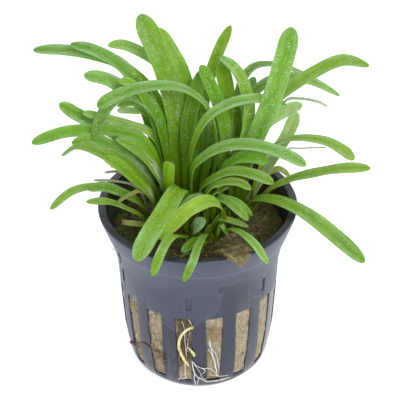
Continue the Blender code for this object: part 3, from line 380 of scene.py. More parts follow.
# a sprout on the front wall, and a crumb of old leaf on the left: radii and (x, z), in mm
SPROUT = ((0.30, 0.42, 0.40, 0.28, 0.16, 0.04),
          ((-1.4, 14.6), (-1.5, 15.4), (-1.9, 16.3), (-2.4, 17.2), (-2.9, 18), (-3.3, 18.7)))
CRUMB = ((0.08, 0.42, 0.6, 0.45, 0.15),
         ((-18.2, 9.6), (-18.6, 9.9), (-19, 10.1), (-19.4, 9.9), (-19.8, 9.3)))

# ---- camera ----
LOOK_AT = Vector((0.66, 0, 52.35)) * MM
CAMERA_DISTANCE = 0.450
CAMERA_ELEVATION = math.radians(35.27)
CAMERA_ROLL = math.radians(-0.58)
FOCAL_PIXELS = 1634
FRAME_PIXELS = 400
SENSOR = 36.0

# ---- lights: name, place and size in m, power in W ----
LIGHTS = (
    ("front_softbox", (0.25, -0.75, 0.65), (0.6, 0.6), 7.5),
    ("left_softbox", (-0.8, -0.1, 0.3), (0.4, 0.5), 1.3),
    ("right_softbox", (0.8, 0.25, 0.2), (0.4, 0.5), 2.5),
)
LIGHTS_FACE = Vector((0, 0, 0.05))
# the studio's strength by direction: dark in front (-Y), bright behind
STUDIO = (("From Min", -0.20), ("From Max", 0.60), ("To Min", 0.20), ("To Max", 1.0))
STUDIO_TINT = (0.94, 0.975, 1.0, 1)
FLOOR_SIZE = 3.0  # m, half its width
FLOOR_DROP = 0.05  # mm under the pot's foot

# ==== materials ====

class Nodes:
    """Short calls for building a Principled material."""

    def __init__(self, name, **fixed):
        self.material = bpy.data.materials.new(name)
        self.material.use_nodes = True
        self.tree = self.material.node_tree
        self.shader = self.tree.nodes["Principled BSDF"]
        for socket, value in fixed.items():
            self.shader.inputs[socket.replace("_", " ")].default_value = value

    def put(self, socket, value):
        """Sets or links a node's input; a colour may be a #rrggbb code."""
        if isinstance(value, str):
            value = linear(value)
        if isinstance(value, bpy.types.NodeSocket):
            self.tree.links.new(value, socket)
        elif isinstance(value, tuple) and len(value) == 3 and socket.type == "RGBA":
            socket.default_value = (*value, 1)
        else:
            socket.default_value = value

    def node(self, kind, settings=None, **inputs):
        made = self.tree.nodes.new(kind)
        for key, value in (settings or {}).items():
            setattr(made, key, value)
        for key, value in inputs.items():
            self.put(made.inputs[key.replace("_", " ")], value)
        return made

    def out(self, socket, value):
        self.put(self.shader.inputs[socket], value)

    def position(self):
        return self.node("ShaderNodeTexCoord").outputs["Object"]

    def math(self, operation, a, b=0.0, *more):
        made = self.node("ShaderNodeMath", {"operation": operation})
        for socket, value in zip(made.inputs, (a, b, *more)):
            self.put(socket, value)
        return made.outputs[0]

    def times(self, *values):
        """The values' product."""
        made = values[0]
        for value in values[1:]:
            made = self.math("MULTIPLY", made, value)
        return made

    def mix(self, share, a, b, blend="MIX"):
        made = self.node("ShaderNodeMix", {"data_type": "RGBA", "blend_type": blend})
        for number, value in ((0, share), (6, a), (7, b)):
            self.put(made.inputs[number], value)
        return made.outputs[2]

    def over(self, colour, tone, pattern, low, high, most):
        """A colour with a tone over it where a pattern is strong."""
        return self.mix(self.span(pattern, low, high, 0.0, most), colour, tone)

    def toned(self, share, colour, factors):
        """A colour mixed with itself times three factors."""
        return self.mix(share, colour, self.mix(1.0, colour, factors, "MULTIPLY"))

    def around(self):
        """Height, and angle round the pot's axis from the front."""
        parts = self.node("ShaderNodeSeparateXYZ", Vector=self.position())
        return parts.outputs[2], self.math("ARCTAN2", parts.outputs[0], self.times(parts.outputs[1], -1.0))

    def stretched(self, vector, scale):
        return self.node("ShaderNodeMapping", Vector=vector, Scale=scale).outputs[0]

    def place(self, scale=(1, 1, 1)):
        """Object position, stretched."""
        return self.stretched(self.position(), scale)

    def noise(self, scale, detail=3.0, roughness=0.5, vector=None, distortion=0.0):
        return self.node("ShaderNodeTexNoise", Scale=scale, Detail=detail, Roughness=roughness,
                         Distortion=distortion, Vector=vector or self.place()).outputs["Fac"]

    def span(self, value, low, high, to_low=0.0, to_high=1.0, smooth=False):
        made = self.node("ShaderNodeMapRange", {"interpolation_type": "SMOOTHSTEP"} if smooth else None)
        for key, item in (("Value", value), ("From Min", low), ("From Max", high), ("To Min", to_low),
                          ("To Max", to_high)):
            self.put(made.inputs[key], item)
        return made.outputs[0]

    def between(self, angle, low, high):
        """0 to 1 from one angle to another, in degrees to the right of the front."""
        return self.span(angle, math.radians(low), math.radians(high))

    def attribute(self, name, output="Fac"):
        return self.node("ShaderNodeAttribute", {"attribute_name": name}).outputs[output]

    def bump(self, height, distance, strength=1.0, normal=None):
        made = self.node("ShaderNodeBump", Strength=strength, Distance=distance, Height=height)
        if normal:
            self.put(made.inputs["Normal"], normal)
        return made.outputs[0]

    def outline(self, value, points):
        """A curve's height at a value: straight lines through points, both within 0..1."""
        made = self.node("ShaderNodeFloatCurve", Value=value)
        curve = made.mapping.curves[0]
        while len(curve.points) < len(points):
            curve.points.new(0.5, 0.5)
        for point, place in zip(curve.points, points):
            point.location = place
            point.handle_type = "VECTOR"
        made.mapping.update()
        return made.outputs[0]

    def dots(self, cells, share, least, more):
        """Which of a pattern's cells hold a dot, and the dots' sizes."""
        chosen = self.node("ShaderNodeSeparateColor", Color=cells.outputs["Color"])
        return (self.math("GREATER_THAN", chosen.outputs[0], 1 - share),
                self.math("MULTIPLY_ADD", chosen.outputs[1], more, least))

    def beads(self, skin, scale, share, radius):
        """Round beads over a flat pattern in mm: their dome, the pale ring near the edge (a painted
        reflection), their glints (painted highlights).
        """
        flat = {"voronoi_dimensions": "2D"}
        cells = self.node("ShaderNodeTexVoronoi", flat, Scale=scale, Randomness=0.95, Vector=skin)
        some, size = self.dots(cells, share, radius * 0.55, radius * 0.6)
        inside = self.math("DIVIDE", cells.outputs["Distance"], size)
        offset = self.node("ShaderNodeVectorMath", {"operation": "SUBTRACT"})
        self.put(offset.inputs[0], skin)
        self.put(offset.inputs[1], cells.outputs["Position"])
        parts = self.node("ShaderNodeSeparateXYZ", Vector=offset.outputs[0])
        ahead = self.math("DIVIDE", self.times(parts.outputs[0], scale), size)
        dome = self.times(some, self.span(inside, 0.15, 1.0, 1.0, 0.0, smooth=True))
        ring = self.times(self.span(inside, 0.55, 0.8), self.span(inside, 0.88, 1.05, 1.0, 0.0))
        # painted highlights: a bright crescent toward the leaf's foot, and a spot toward its tip
        crescent = self.times(self.span(inside, 0.35, 0.6), self.span(ahead, -0.1, -0.4),
                              self.span(inside, 0.8, 1.0, 1.0, 0.0))
        spot = self.times(self.span(ahead, 0.15, 0.35), self.span(inside, 0.62, 0.45))
        glint = self.math("MAXIMUM", self.times(crescent, 0.6), spot)
        return dome, self.times(some, ring), self.times(some, glint)

    def spots(self, scale, share, radius):
        """Round specks, in a share of a pattern's cells; their radius is against a cell's size."""
        cells = self.node("ShaderNodeTexVoronoi", Scale=scale, Vector=self.place())
        some, size = self.dots(cells, share, radius * 0.5, radius * 0.7)
        inside = self.math("SUBTRACT", size, cells.outputs["Distance"])
        return self.times(some, self.span(inside, 0.0, radius * 0.35, smooth=True))


def leaf_material():
    """Wet, waxy leaf: a tint painted along the blade, with streaks, fine veins, mottling and beading; over it
    painted light: a silvery sheen where the blade faces up, pale margins, wet highlights, and on the beads
    pale rims, glints and darker insides.
    """
    m = Nodes("leaf", Specular_IOR_Level=0.25, Coat_Weight=0.15, Coat_Roughness=0.09, IOR=1.45,
              Subsurface_Weight=0.3, Subsurface_Radius=(0.7, 1.0, 0.12), Subsurface_Scale=0.0009)
    tint = m.attribute("tint", "Color")
    across = m.attribute("across")
    along = m.attribute("along")
    skin = m.attribute("skin", "Vector")
    side = m.math("ABSOLUTE", across)
    cells = m.noise(1300, 4, 0.7)
    mottle = m.noise(420, 4, 0.6)
    broad = m.noise(85, 2, 0.5)
    streaks = m.noise(1.0, 4, 0.6, m.stretched(skin, (0.22, 1.7, 1.0)), 0.4)
    light = m.toned(m.span(mottle, 0.45, 0.70, 0.0, 0.8), tint, (1.32, 1.20, 1.7))
    dark = m.toned(m.span(broad, 0.35, 0.7, 0.0, 0.7), light, (0.72, 0.82, 0.45))
    dark = m.toned(m.span(cells, 0.48, 0.66, 0.0, 0.6), dark, (0.72, 0.82, 0.55))
    dark = m.toned(m.span(streaks, 0.52, 0.30, 0.0, 0.5), dark, (0.66, 0.78, 0.4))
    veins = m.math("SINE", m.times(across, 26.0))
    veined = m.toned(m.span(veins, 0.2, 1.0, 0.0, 0.22), dark, (1.3, 1.18, 1.5))
    rib = m.span(side, 0.03, 0.14, 1.0, 0.0, smooth=True)
    ribbed = m.toned(m.times(rib, 0.3), veined, (0.66, 0.76, 0.5))
    facing = m.node("ShaderNodeSeparateXYZ", Vector=m.node("ShaderNodeNewGeometry").outputs["Normal"])
    # painted sheen: a silvery veil where the blade faces up, stronger toward its edges and along its streaks
    painted_veil = m.times(m.span(facing.outputs[2], 0.45, 0.92, 0.12, 1.0, smooth=True), m.attribute("bloom"))
    painted_veil = m.times(painted_veil, m.span(side, 0.15, 0.80, 0.3, 1.0, smooth=True))
    painted_veil = m.times(painted_veil, m.span(streaks, 0.4, 0.62, 0.4, 1.0, smooth=True))
    bloomed = m.mix(m.times(painted_veil, 0.8), ribbed, "#a6cc98")
    shine = m.times(m.attribute("shine"), m.span(streaks, 0.38, 0.56, 0.15, 1.0, smooth=True))
    bloomed = m.mix(shine, bloomed, "#dcecd0")
    # painted reflection: paler margins, from a fifth of the way along the blade
    edge = m.times(m.span(side, 0.88, 1.0, 0.0, 0.45, smooth=True), m.span(along, 0.2, 0.6))
    with_edge_sheen = m.mix(edge, bloomed, "#a4c274")
    net = m.node("ShaderNodeTexVoronoi", {"feature": "DISTANCE_TO_EDGE", "voronoi_dimensions": "2D"},
                 Scale=1.0, Vector=m.stretched(skin, (1.1, 1.5, 1.0)))
    net_lines = m.times(m.span(net.outputs[0], 0.09, 0.02), m.attribute("net"))
    netted = m.toned(net_lines, with_edge_sheen, (0.62, 0.78, 0.4))
    wetness = m.attribute("beading")
    some_fine = m.times(m.span(wetness, 0.0, 0.5), m.span(m.noise(170, 3, 0.6), 0.42, 0.56, 0.15, 1.0))
    some_large = m.span(wetness, 0.45, 1.0)
    fine, fine_rim, fine_glint = m.beads(skin, 1.15, 0.6, 0.36)
    large, large_rim, large_glint = m.beads(skin, 0.42, 0.7, 0.28)
    fine_rim, fine_glint = m.times(fine_rim, some_fine), m.times(fine_glint, some_fine)
    large_rim, large_glint = m.times(large_rim, some_large), m.times(large_glint, some_large)
    drop = m.math("MAXIMUM", m.times(fine, some_fine, 0.35), m.times(large, some_large))
    # painted light and shade on the beads: darker insides, pale rims and white glints
    inner = m.toned(m.times(drop, 0.6), netted, (0.6, 0.8, 0.3))
    rims = m.math("MAXIMUM", fine_rim, m.times(large_rim, 0.8))
    inner = m.mix(m.times(rims, 0.3), inner, "#bcd890")
    glints = m.math("MAXIMUM", m.times(fine_glint, 0.6), m.times(large_glint, 0.6))
    m.out("Base Color", m.mix(glints, inner, "#def0c4"))
    m.out("Roughness", m.math("SUBTRACT", m.span(streaks, 0.3, 0.7, 0.42, 0.28), m.times(drop, 0.15)))
    relief = m.bump(cells, 0.00016, 0.7)
    relief = m.bump(streaks, 0.0005, 0.6, relief)
    relief = m.bump(veins, 0.00005, 0.5, relief)
    relief = m.bump(m.times(fine, some_fine), 0.0001, 0.7, relief)
    m.out("Normal", m.bump(m.times(large, some_large), 0.0003, 0.8, relief))
    return m.material


def pot_material():
    """Grey-blue moulded plastic: a darker lip, a painted highlight along the small step in the wall, a wet
    film with a sharp wavy edge, scuffs and specks.
    """
    m = Nodes("pot_plastic", Roughness=0.42, Specular_IOR_Level=0.5, IOR=1.49)
    height, angle = m.around()
    grain = m.noise(700, 4, 0.6)
    cloud = m.noise(45, 3, 0.5)
    wander = m.noise(120, 2, 0.5)
    wall = m.mix(m.span(cloud, 0.35, 0.65), "#343a4d", "#3d435a")
    wall = m.over(wall, "#4c5166", grain, 0.45, 0.75, 0.35)
    turned = m.math("ADD", m.span(angle, -math.pi / 2, math.pi / 2),
                    m.span(wander, 0.3, 0.7, -0.006, 0.006))
    level = m.math("ADD", m.span(height, 0.0, 0.05), m.span(wander, 0.3, 0.7, 0.007, -0.007))
    upper = m.outline(turned, [((angle + 90) / 180, z / 50) for angle, z in WET_ABOVE])
    above = m.math("SUBTRACT", upper, level)
    for middle, z, wide, tall in LOBES:
        lobe_x = m.math("DIVIDE", m.math("SUBTRACT", angle, math.radians(middle)), math.radians(wide))
        lobe_z = m.math("DIVIDE", m.math("SUBTRACT", height, z * MM), tall * MM)
        lobe = m.math("ADD", m.times(lobe_x, lobe_x), m.times(lobe_z, lobe_z))
        above = m.math("MAXIMUM", above, m.times(m.math("SUBTRACT", 1.0, lobe), 0.02))
    wet = m.span(above, 0.0, 0.006)
    rim = m.times(m.math("SUBTRACT", 1.0, wet), m.span(above, -0.014, 0.0))
    wall = m.mix(m.times(wet, 0.9), wall, "#272b3c")
    wall = m.mix(m.times(rim, 0.2), wall, "#666c84")
    # painted highlight: a lighter band along the small step at 44.5 mm
    step = m.times(m.span(height, 0.0442, 0.0448), m.span(height, 0.0452, 0.0449))
    wall = m.mix(m.times(step, 0.35), wall, "#6c7288")
    top = m.span(height, 0.0511, 0.0515)
    dark = m.mix(m.span(grain, 0.3, 0.7), "#26262f", "#36353f")
    wall = m.mix(top, wall, dark)
    wall = m.mix(m.times(m.spots(260, 0.10, 0.10), 0.8), wall, "#24252a")
    wall = m.mix(m.times(m.spots(180, 0.05, 0.07), 0.8), wall, "#b4b4b0")
    streaks = m.noise(420, 4, 0.65, m.place((1.0, 1.0, 0.12)))
    scuffs = m.times(m.span(streaks, 0.56, 0.66, 0.0, 0.14), m.span(height, 0.030, 0.012))
    m.out("Base Color", m.mix(scuffs, wall, "#8d8f94"))
    m.out("Roughness", m.mix(wet, m.mix(top, (0.42,) * 3, (0.30,) * 3), (0.22,) * 3))
    relief = m.bump(grain, 0.00003, 0.4)
    m.out("Normal", m.bump(wet, 0.00010, 0.6, relief))
    return m.material


def inner_material():
    """Near-black inside of the pot's wall, painted shade inside the pot, dulled and mottled by dirt."""
    m = Nodes("pot_inside", Roughness=0.55, IOR=1.49)
    dirt = m.noise(300, 4, 0.65)
    m.out("Base Color", m.mix(m.span(dirt, 0.45, 0.7), "#282825", "#4a4434"))
    m.out("Roughness", m.span(dirt, 0.3, 0.7, 0.35, 0.75))
    m.out("Normal", m.bump(dirt, 0.0001, 0.4))
    return m.material


def wool_material():
    """Damp mineral wool: beige felted fibres with brown patches, dark moss and silt over the top."""
    m = Nodes("rock_wool", Roughness=0.9, Specular_IOR_Level=0.3)
    height, angle = m.around()
    fibres = m.noise(900, 5, 0.75, m.place((1.0, 1.0, 0.35)), 1.2)
    patches = m.noise(150, 4, 0.6, None, 0.5)
    wisps = m.noise(520, 4, 0.7, m.place((1.0, 1.0, 0.6)), 2.0)
    colour = m.mix(m.span(fibres, 0.3, 0.7), "#857a62", "#bcb097")
    colour = m.over(colour, "#8c744e", patches, 0.50, 0.64, 0.8)
    colour = m.over(colour, "#5d4d33", m.noise(240, 3, 0.6), 0.56, 0.70, 0.8)
    colour = m.over(colour, "#d6cdb8", wisps, 0.58, 0.66, 0.8)
    flecks = m.noise(1500, 3, 0.7, m.place((1.0, 1.0, 0.6)), 0.5)
    stained = m.between(angle, *WOOL_STAINED)
    stained = m.times(m.span(flecks, 0.52, 0.62), m.math("ADD", m.times(stained, 0.5), 0.3))
    colour = m.mix(stained, colour, "#55492c")
    hollow = m.times(m.between(angle, *WOOL_HOLLOW[0]), m.between(angle, *WOOL_HOLLOW[1]),
                     m.span(m.math("ADD", height, m.times(patches, 0.008)), 0.010, 0.017))
    colour = m.mix(m.times(hollow, 0.85), colour, m.mix(fibres, "#332613", "#6d5637"))
    left = m.times(m.between(angle, *WOOL_DARK_FOOT),
                   m.span(m.math("ADD", height, m.times(wisps, 0.010)), 0.020, 0.013),
                   m.span(patches, 0.35, 0.6, 0.3, 1.0), 0.8)
    colour = m.mix(left, colour, m.mix(m.span(fibres, 0.35, 0.65), "#46362a", "#9c8674"))
    silt = m.noise(330, 5, 0.7)
    ground = m.mix(m.span(silt, 0.35, 0.65), "#2b2413", "#5f552e")
    for pattern, low, high, most, tone in (((200, 4, 0.6), 0.48, 0.60, 0.9, "#4c5a1e"),
                                           ((260, 3, 0.6), 0.60, 0.68, 0.8, "#7a4e2e"),
                                           ((900, 3, 0.7), 0.62, 0.70, 0.7, "#a39a68")):
        ground = m.over(ground, tone, m.noise(*pattern), low, high, most)
    top = m.span(height, 0.0405, 0.0425, smooth=True)
    m.out("Base Color", m.mix(top, colour, ground))
    m.out("Roughness", m.span(silt, 0.3, 0.7, 0.6, 0.95))
    relief = m.bump(fibres, 0.0004, 0.9)
    m.out("Normal", m.bump(silt, 0.0005, 0.8, relief))
    return m.material


def moss_material(name, low, middle, high, edge=None, shaded=None):
    """Old moss and silt in three tones.

    edge: tone of a pale, rusty edge; shaded: tone that some of the single leaves or threads take.
    """
    m = Nodes(name, Roughness=0.85, Specular_IOR_Level=0.3)
    grain = m.noise(1100, 5, 0.7)
    patches = m.noise(300, 4, 0.65)
    colour = m.mix(m.span(grain, 0.3, 0.7), low, middle)
    colour = m.over(colour, high, patches, 0.46, 0.60, 0.9)
    if edge:
        colour = m.over(colour, "#63402b", m.noise(210, 3, 0.6), 0.52, 0.62, 0.8)
        colour = m.mix(m.times(m.attribute("edge"), m.span(patches, 0.4, 0.6, 0.2, 1.0)), colour, edge)
    if shaded:
        colour = m.mix(m.attribute("shade"), colour, shaded)
    m.out("Base Color", colour)
    m.out("Roughness", m.span(grain, 0.3, 0.7, 0.55, 0.95))
    m.out("Normal", m.bump(patches, 0.0008, 0.8, m.bump(grain, 0.0004, 0.9)))
    return m.material


def root_material(name, low, high):
    """Root or sprout: slightly translucent, with bands of two tones and soft grain."""
    m = Nodes(name, Roughness=0.45, Specular_IOR_Level=0.5, Subsurface_Weight=0.3,
              Subsurface_Radius=(1.0, 0.8, 0.5), Subsurface_Scale=0.0006)
    bands = m.noise(500, 3, 0.6)
    m.out("Base Color", m.mix(m.span(bands, 0.35, 0.65), low, high))
    m.out("Roughness", m.span(bands, 0.3, 0.7, 0.35, 0.6))
    m.out("Normal", m.bump(m.noise(1800, 3, 0.6), 0.00005, 0.5))
    return m.material


def floor_material():
    m = Nodes("floor", Roughness=0.6, Specular_IOR_Level=0.2)
    paper = m.noise(400, 3, 0.5)
    m.out("Base Color", m.mix(paper, (0.60, 0.60, 0.60), (0.64, 0.64, 0.64)))
    m.out("Emission Color", (1, 1, 1))
    m.out("Emission Strength", 0.7)
    return m.material


# ==== mesh helpers ====

def link(name, data):
    """A new object in the scene."""
    made = bpy.data.objects.new(name, data)
    bpy.context.scene.collection.objects.link(made)
    return made


def add_piece(name, mesh, material, replaced=None, smooth=80):
    """Links a mesh as a piece of the object that rides on its one body."""
    made = link(name, mesh)
    mesh.materials.clear()
    mesh.materials.append(material)
    mesh.shade_smooth()
    mesh.set_sharp_from_angle(angle=math.radians(smooth))
    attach(made, BODY)
    if replaced:
        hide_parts(replaced)


def mesh_of(name, points, faces, **attributes):
    """A mesh from points in metres and faces; an attribute is a number, a colour or a place per point."""
    mesh = bpy.data.meshes.new(name)
    mesh.from_pydata([tuple(p) for p in points], [], faces)
    for key, values in attributes.items():
        values = np.asarray(values, np.float32)
        if values.ndim == 1:
            mesh.attributes.new(key, "FLOAT", "POINT").data.foreach_set("value", values)
        elif key == "skin":
            mesh.attributes.new(key, "FLOAT_VECTOR", "POINT").data.foreach_set("vector", values.ravel())
        else:
            full = np.ones((len(values), 4), np.float32)
            full[:, :3] = values
            mesh.attributes.new(key, "FLOAT_COLOR", "POINT").data.foreach_set("color", full.ravel())
    mesh.update()
    return mesh


def join_meshes(name, pieces, **attributes):
    """One mesh from many (points, faces) pairs; attributes hold one list per pair."""
    points, faces = [], []
    joined = {key: [] for key in attributes}
    for number, (some_points, some_faces) in enumerate(pieces):
        start = len(points)
        points.extend(some_points)
        faces.extend([tuple(start + i for i in face) for face in some_faces])
        for key, lists in attributes.items():
            joined[key].extend(lists[number])
    return mesh_of(name, points, faces, **joined)


def ring_faces(rows, count, flip=False):
    """Faces of a closed tube of rows rings with count points each, and of its two ends."""
    faces = []
    for i in range(rows - 1):
        for j in range(count):
            k = (j + 1) % count
            faces.append((i * count + j, (i + 1) * count + j, (i + 1) * count + k, i * count + k))
    ends = [tuple(range(count)), tuple((rows - 1) * count + j for j in reversed(range(count)))]
    if flip:
        return [(a, d, c, b) for a, b, c, d in faces] + [end[::-1] for end in ends]
    return faces + ends


def smoothstep(t):
    t = np.clip(t, 0, 1)
    return t * t * (3 - 2 * t)


def curve_through(points, samples=24):
    """Close points on a smooth (Catmull-Rom) curve through the given ones, and the lengths to them."""
    points = np.asarray(points, float)
    ends = np.vstack([2 * points[0] - points[1], points, 2 * points[-1] - points[-2]])
    fine = []
    t = (np.arange(samples) / samples)[:, None]
    for p0, p1, p2, p3 in zip(ends, ends[1:], ends[2:], ends[3:]):
        fine.append(0.5 * (2 * p1 + (p2 - p0) * t + (2 * p0 - 5 * p1 + 4 * p2 - p3) * t ** 2
                           + (3 * p1 - p0 - 3 * p2 + p3) * t ** 3))
    fine = np.vstack([*fine, points[-1:]])
    lengths = np.concatenate([[0], np.cumsum(np.linalg.norm(np.diff(fine, axis=0), axis=1))])
    return fine, lengths


def places(fine, lengths, at):
    """Points at lengths along a curve."""
    return np.stack([np.interp(at, lengths, fine[:, i]) for i in range(3)], axis=-1)


def directions(fine, lengths, at):
    """Unit directions at lengths along a curve."""
    near = 0.02 * lengths[-1]
    after = places(fine, lengths, np.minimum(at + near, lengths[-1]))
    ahead = after - places(fine, lengths, np.maximum(at - near, 0))
    return ahead / np.linalg.norm(ahead, axis=1, keepdims=True)


def roll_along(roll, shares):
    """Roll in radians, eased between the values given along the leaf."""
    place = shares * (len(roll) - 1)
    i = np.minimum(place.astype(int), len(roll) - 2)
    values = np.asarray(roll, float)
    return np.radians(values[i] + (values[i + 1] - values[i]) * smoothstep(place - i))


def blade_axes(reach, ahead, roll):
    """Directions across and up from a blade along its length: reach is the step from its crown to its tip."""
    heading = np.array([reach[0], reach[1], 0])
    heading /= np.linalg.norm(heading)
    level = np.array([-heading[1], heading[0], 0])
    side = level - ahead * (ahead @ level)[:, None]
    side /= np.linalg.norm(side, axis=1, keepdims=True)
    up = np.cross(ahead, side)
    cosine, sine = np.cos(roll)[:, None], np.sin(roll)[:, None]
    return side * cosine + up * sine, up * cosine - side * sine


def blade(leaf, seed):
    """Points in mm, faces and attributes of one strap leaf: channelled, ribbed, thin at its edges."""
    rng = random.Random(seed)
    fine, lengths = curve_through(leaf.route)
    length = lengths[-1]
    tip = TIP_LENGTHS[leaf.tip] * leaf.width
    body = np.linspace(0, 1 - tip / length, BODY_RINGS)
    narrow = np.ones(BODY_RINGS)
    shares = body
    if tip:
        turn = np.radians(np.linspace(0, TIP_TURN, TIP_RINGS + 1)[1:])
        shares = np.concatenate([body, 1 - (1 - np.sin(turn)) * tip / length])
        narrow = np.concatenate([narrow, np.cos(turn)])
    width = leaf.width * (leaf.stalk + (1 - leaf.stalk) * smoothstep(shares / BLADE_FULL_AT)) * narrow
    place = places(fine, lengths, shares * length)
    ahead = directions(fine, lengths, shares * length)
    roll = roll_along(leaf.roll, shares)
    roll = roll + SWAY * np.sin(shares * rng.uniform(3, 6) + rng.uniform(0, 6))
    side, up = blade_axes(fine[-1] - fine[0], ahead, roll)

    a = np.sin(np.radians(np.linspace(-90, 90, ACROSS)))
    half = width[:, None] / 2
    channel = FOLD * half * (np.sqrt(a ** 2 + 0.02) - math.sqrt(0.02))
    wave = sum(
        rng.uniform(0.02, 0.05) * np.sin(shares[:, None] * rng.uniform(10, 30) + rng.uniform(0, 6) + a * sign)
        for sign in (1.5, -1.5)
    ) * np.abs(a) ** 2 * np.minimum(half, 1.5)
    full = LEAF_THICKNESS * np.minimum(1, width / 2.2 + 0.25)[:, None]
    thick = full * (EDGE_THICKNESS + (1 - EDGE_THICKNESS) * (1 - a ** 2) ** 0.8)
    groove, rib = (tall * full * np.exp(-(a / wide) ** 2) for tall, wide in (GROOVE, RIB))
    y = a * half
    upper = channel + wave + thick / 2 - groove
    lower = channel + wave - thick / 2 - rib

    def points(height):
        return place[:, None, :] + side[:, None, :] * y[..., None] + up[:, None, :] * height[..., None]

    ring = np.concatenate([points(upper), points(lower)[:, ::-1, :]], axis=1)
    rings, count = ring.shape[:2]
    along = np.repeat(shares, count)
    across = np.tile(np.concatenate([a, a[::-1]]), rings)
    flat = np.concatenate([y, y[:, ::-1] + UNDERSIDE_STEP], axis=1).ravel()
    skin = np.stack([along * length, flat, np.zeros(len(flat))], axis=1)
    return ring.reshape(-1, 3), ring_faces(rings, count), along, across, skin, rng


def tinted(leaf, along, rng):
    """Colour along a leaf: a darker stalk, its own tint and painted shade near the crown, then the leaf's own
    tint with a slight drift to the tip.
    """
    tint = np.array(linear(TINTS[leaf.tint][0]))
    tint = tint * (1 + np.array([rng.uniform(-most, most) for most in TINT_DRIFT]))
    stalk = (1 - smoothstep(along / 0.45))[:, None] * 0.75 * leaf.green
    colour = tint * (1 - stalk) + np.array(STALK_TINT) * stalk
    # painted shade at the leaf's foot, deep among the other leaves
    colour = colour * (1 - 0.35 * leaf.green * (1 - smoothstep((along - 0.02) / 0.33))[:, None])
    if leaf.brown:
        worn = smoothstep((along - leaf.brown) / 0.05)[:, None]
        colour = colour * (1 - worn) + np.array(CUT_TINT) * worn
    tip = (smoothstep((along - 0.8) / 0.2) * rng.uniform(0.0, 0.35))[:, None]
    return colour * (1 - tip) + colour * np.array([1.05, 1.0, 1.7]) * tip


def make_leaves(finish):
    for number, (name, leaf) in enumerate([*LEAVES.items(), *SMALL_LEAVES.items()]):
        points, faces, along, across, skin, rng = blade(leaf, LEAF_SEED + number)
        # painted shade on the low leaves among the others, and a little painted light on the high ones
        rise = smoothstep((points[:, 2] - LIGHTER_FROM) / LIGHTER_OVER)[:, None]
        tint = tinted(leaf, along, rng) * (LOW_LIGHT + LIGHTER_BY * rise)
        # painted sheen, growing toward the tip
        bloom = TINTS[leaf.tint][1] * smoothstep((along - 0.25) / 0.3)
        # more painted sheen where the water film lies
        if leaf.film:
            start, more = leaf.film
            bloom = bloom + more * smoothstep((along - start) / 0.12)
        shine = np.zeros(len(along))
        if leaf.shine:
            middle, spread, strength = leaf.shine
            shine = strength * np.exp(-((along - middle) / spread) ** 2 - (across / 0.55) ** 2)
        beads = 0.0 if name.startswith("fill") else leaf.beads  # none deep between the leaves
        skin[:, 0] += SKIN_STEP * number
        mesh = mesh_of(name, points * MM, faces, along=along, across=across, tint=tint, bloom=bloom,
                       beading=beads * smoothstep((along - 0.15) / 0.3), net=np.full(len(along), leaf.net),
                       shine=shine, skin=skin)
        if name in LEAVES:
            add_piece("blade_" + name, mesh, finish, "leaf_" + name, smooth=60)
        else:
            add_piece(name, mesh, finish, smooth=60)


# ==== pot ====

def evenly(count, first_angle):
    return [first_angle + 2 * math.pi * i / count for i in range(count)]


def cutter_boxes(name, angles, size, middle, corner, foot=1.0):
    """Equal boxes set round the pot's axis, rounded and narrower at the foot.

    size: (radial, tangential, height) in mm.
    """
    bm = bmesh.new()
    for angle in angles:
        turn = Matrix.Rotation(angle, 4, "Z") @ Matrix.Translation((middle[0] * MM, 0, middle[1] * MM))
        made = bmesh.ops.create_cube(bm, size=1)
        for v in made["verts"]:
            if v.co.z < 0:
                v.co.y *= foot
            v.co = turn @ Matrix.Diagonal((*(s * MM for s in size), 1)) @ v.co
        if corner:
            outward = Vector((math.cos(angle), math.sin(angle), 0))
            edges = {e for v in made["verts"] for e in v.link_edges}
            along_radius = [e for e in edges
                            if abs((e.verts[1].co - e.verts[0].co).normalized().dot(outward)) > 0.99]
            bmesh.ops.bevel(bm, geom=along_radius, offset=corner * MM, segments=4, affect="EDGES",
                            profile=0.5)
    mesh = bpy.data.meshes.new(name)
    bm.to_mesh(mesh)
    bm.free()
    return link(name, mesh)


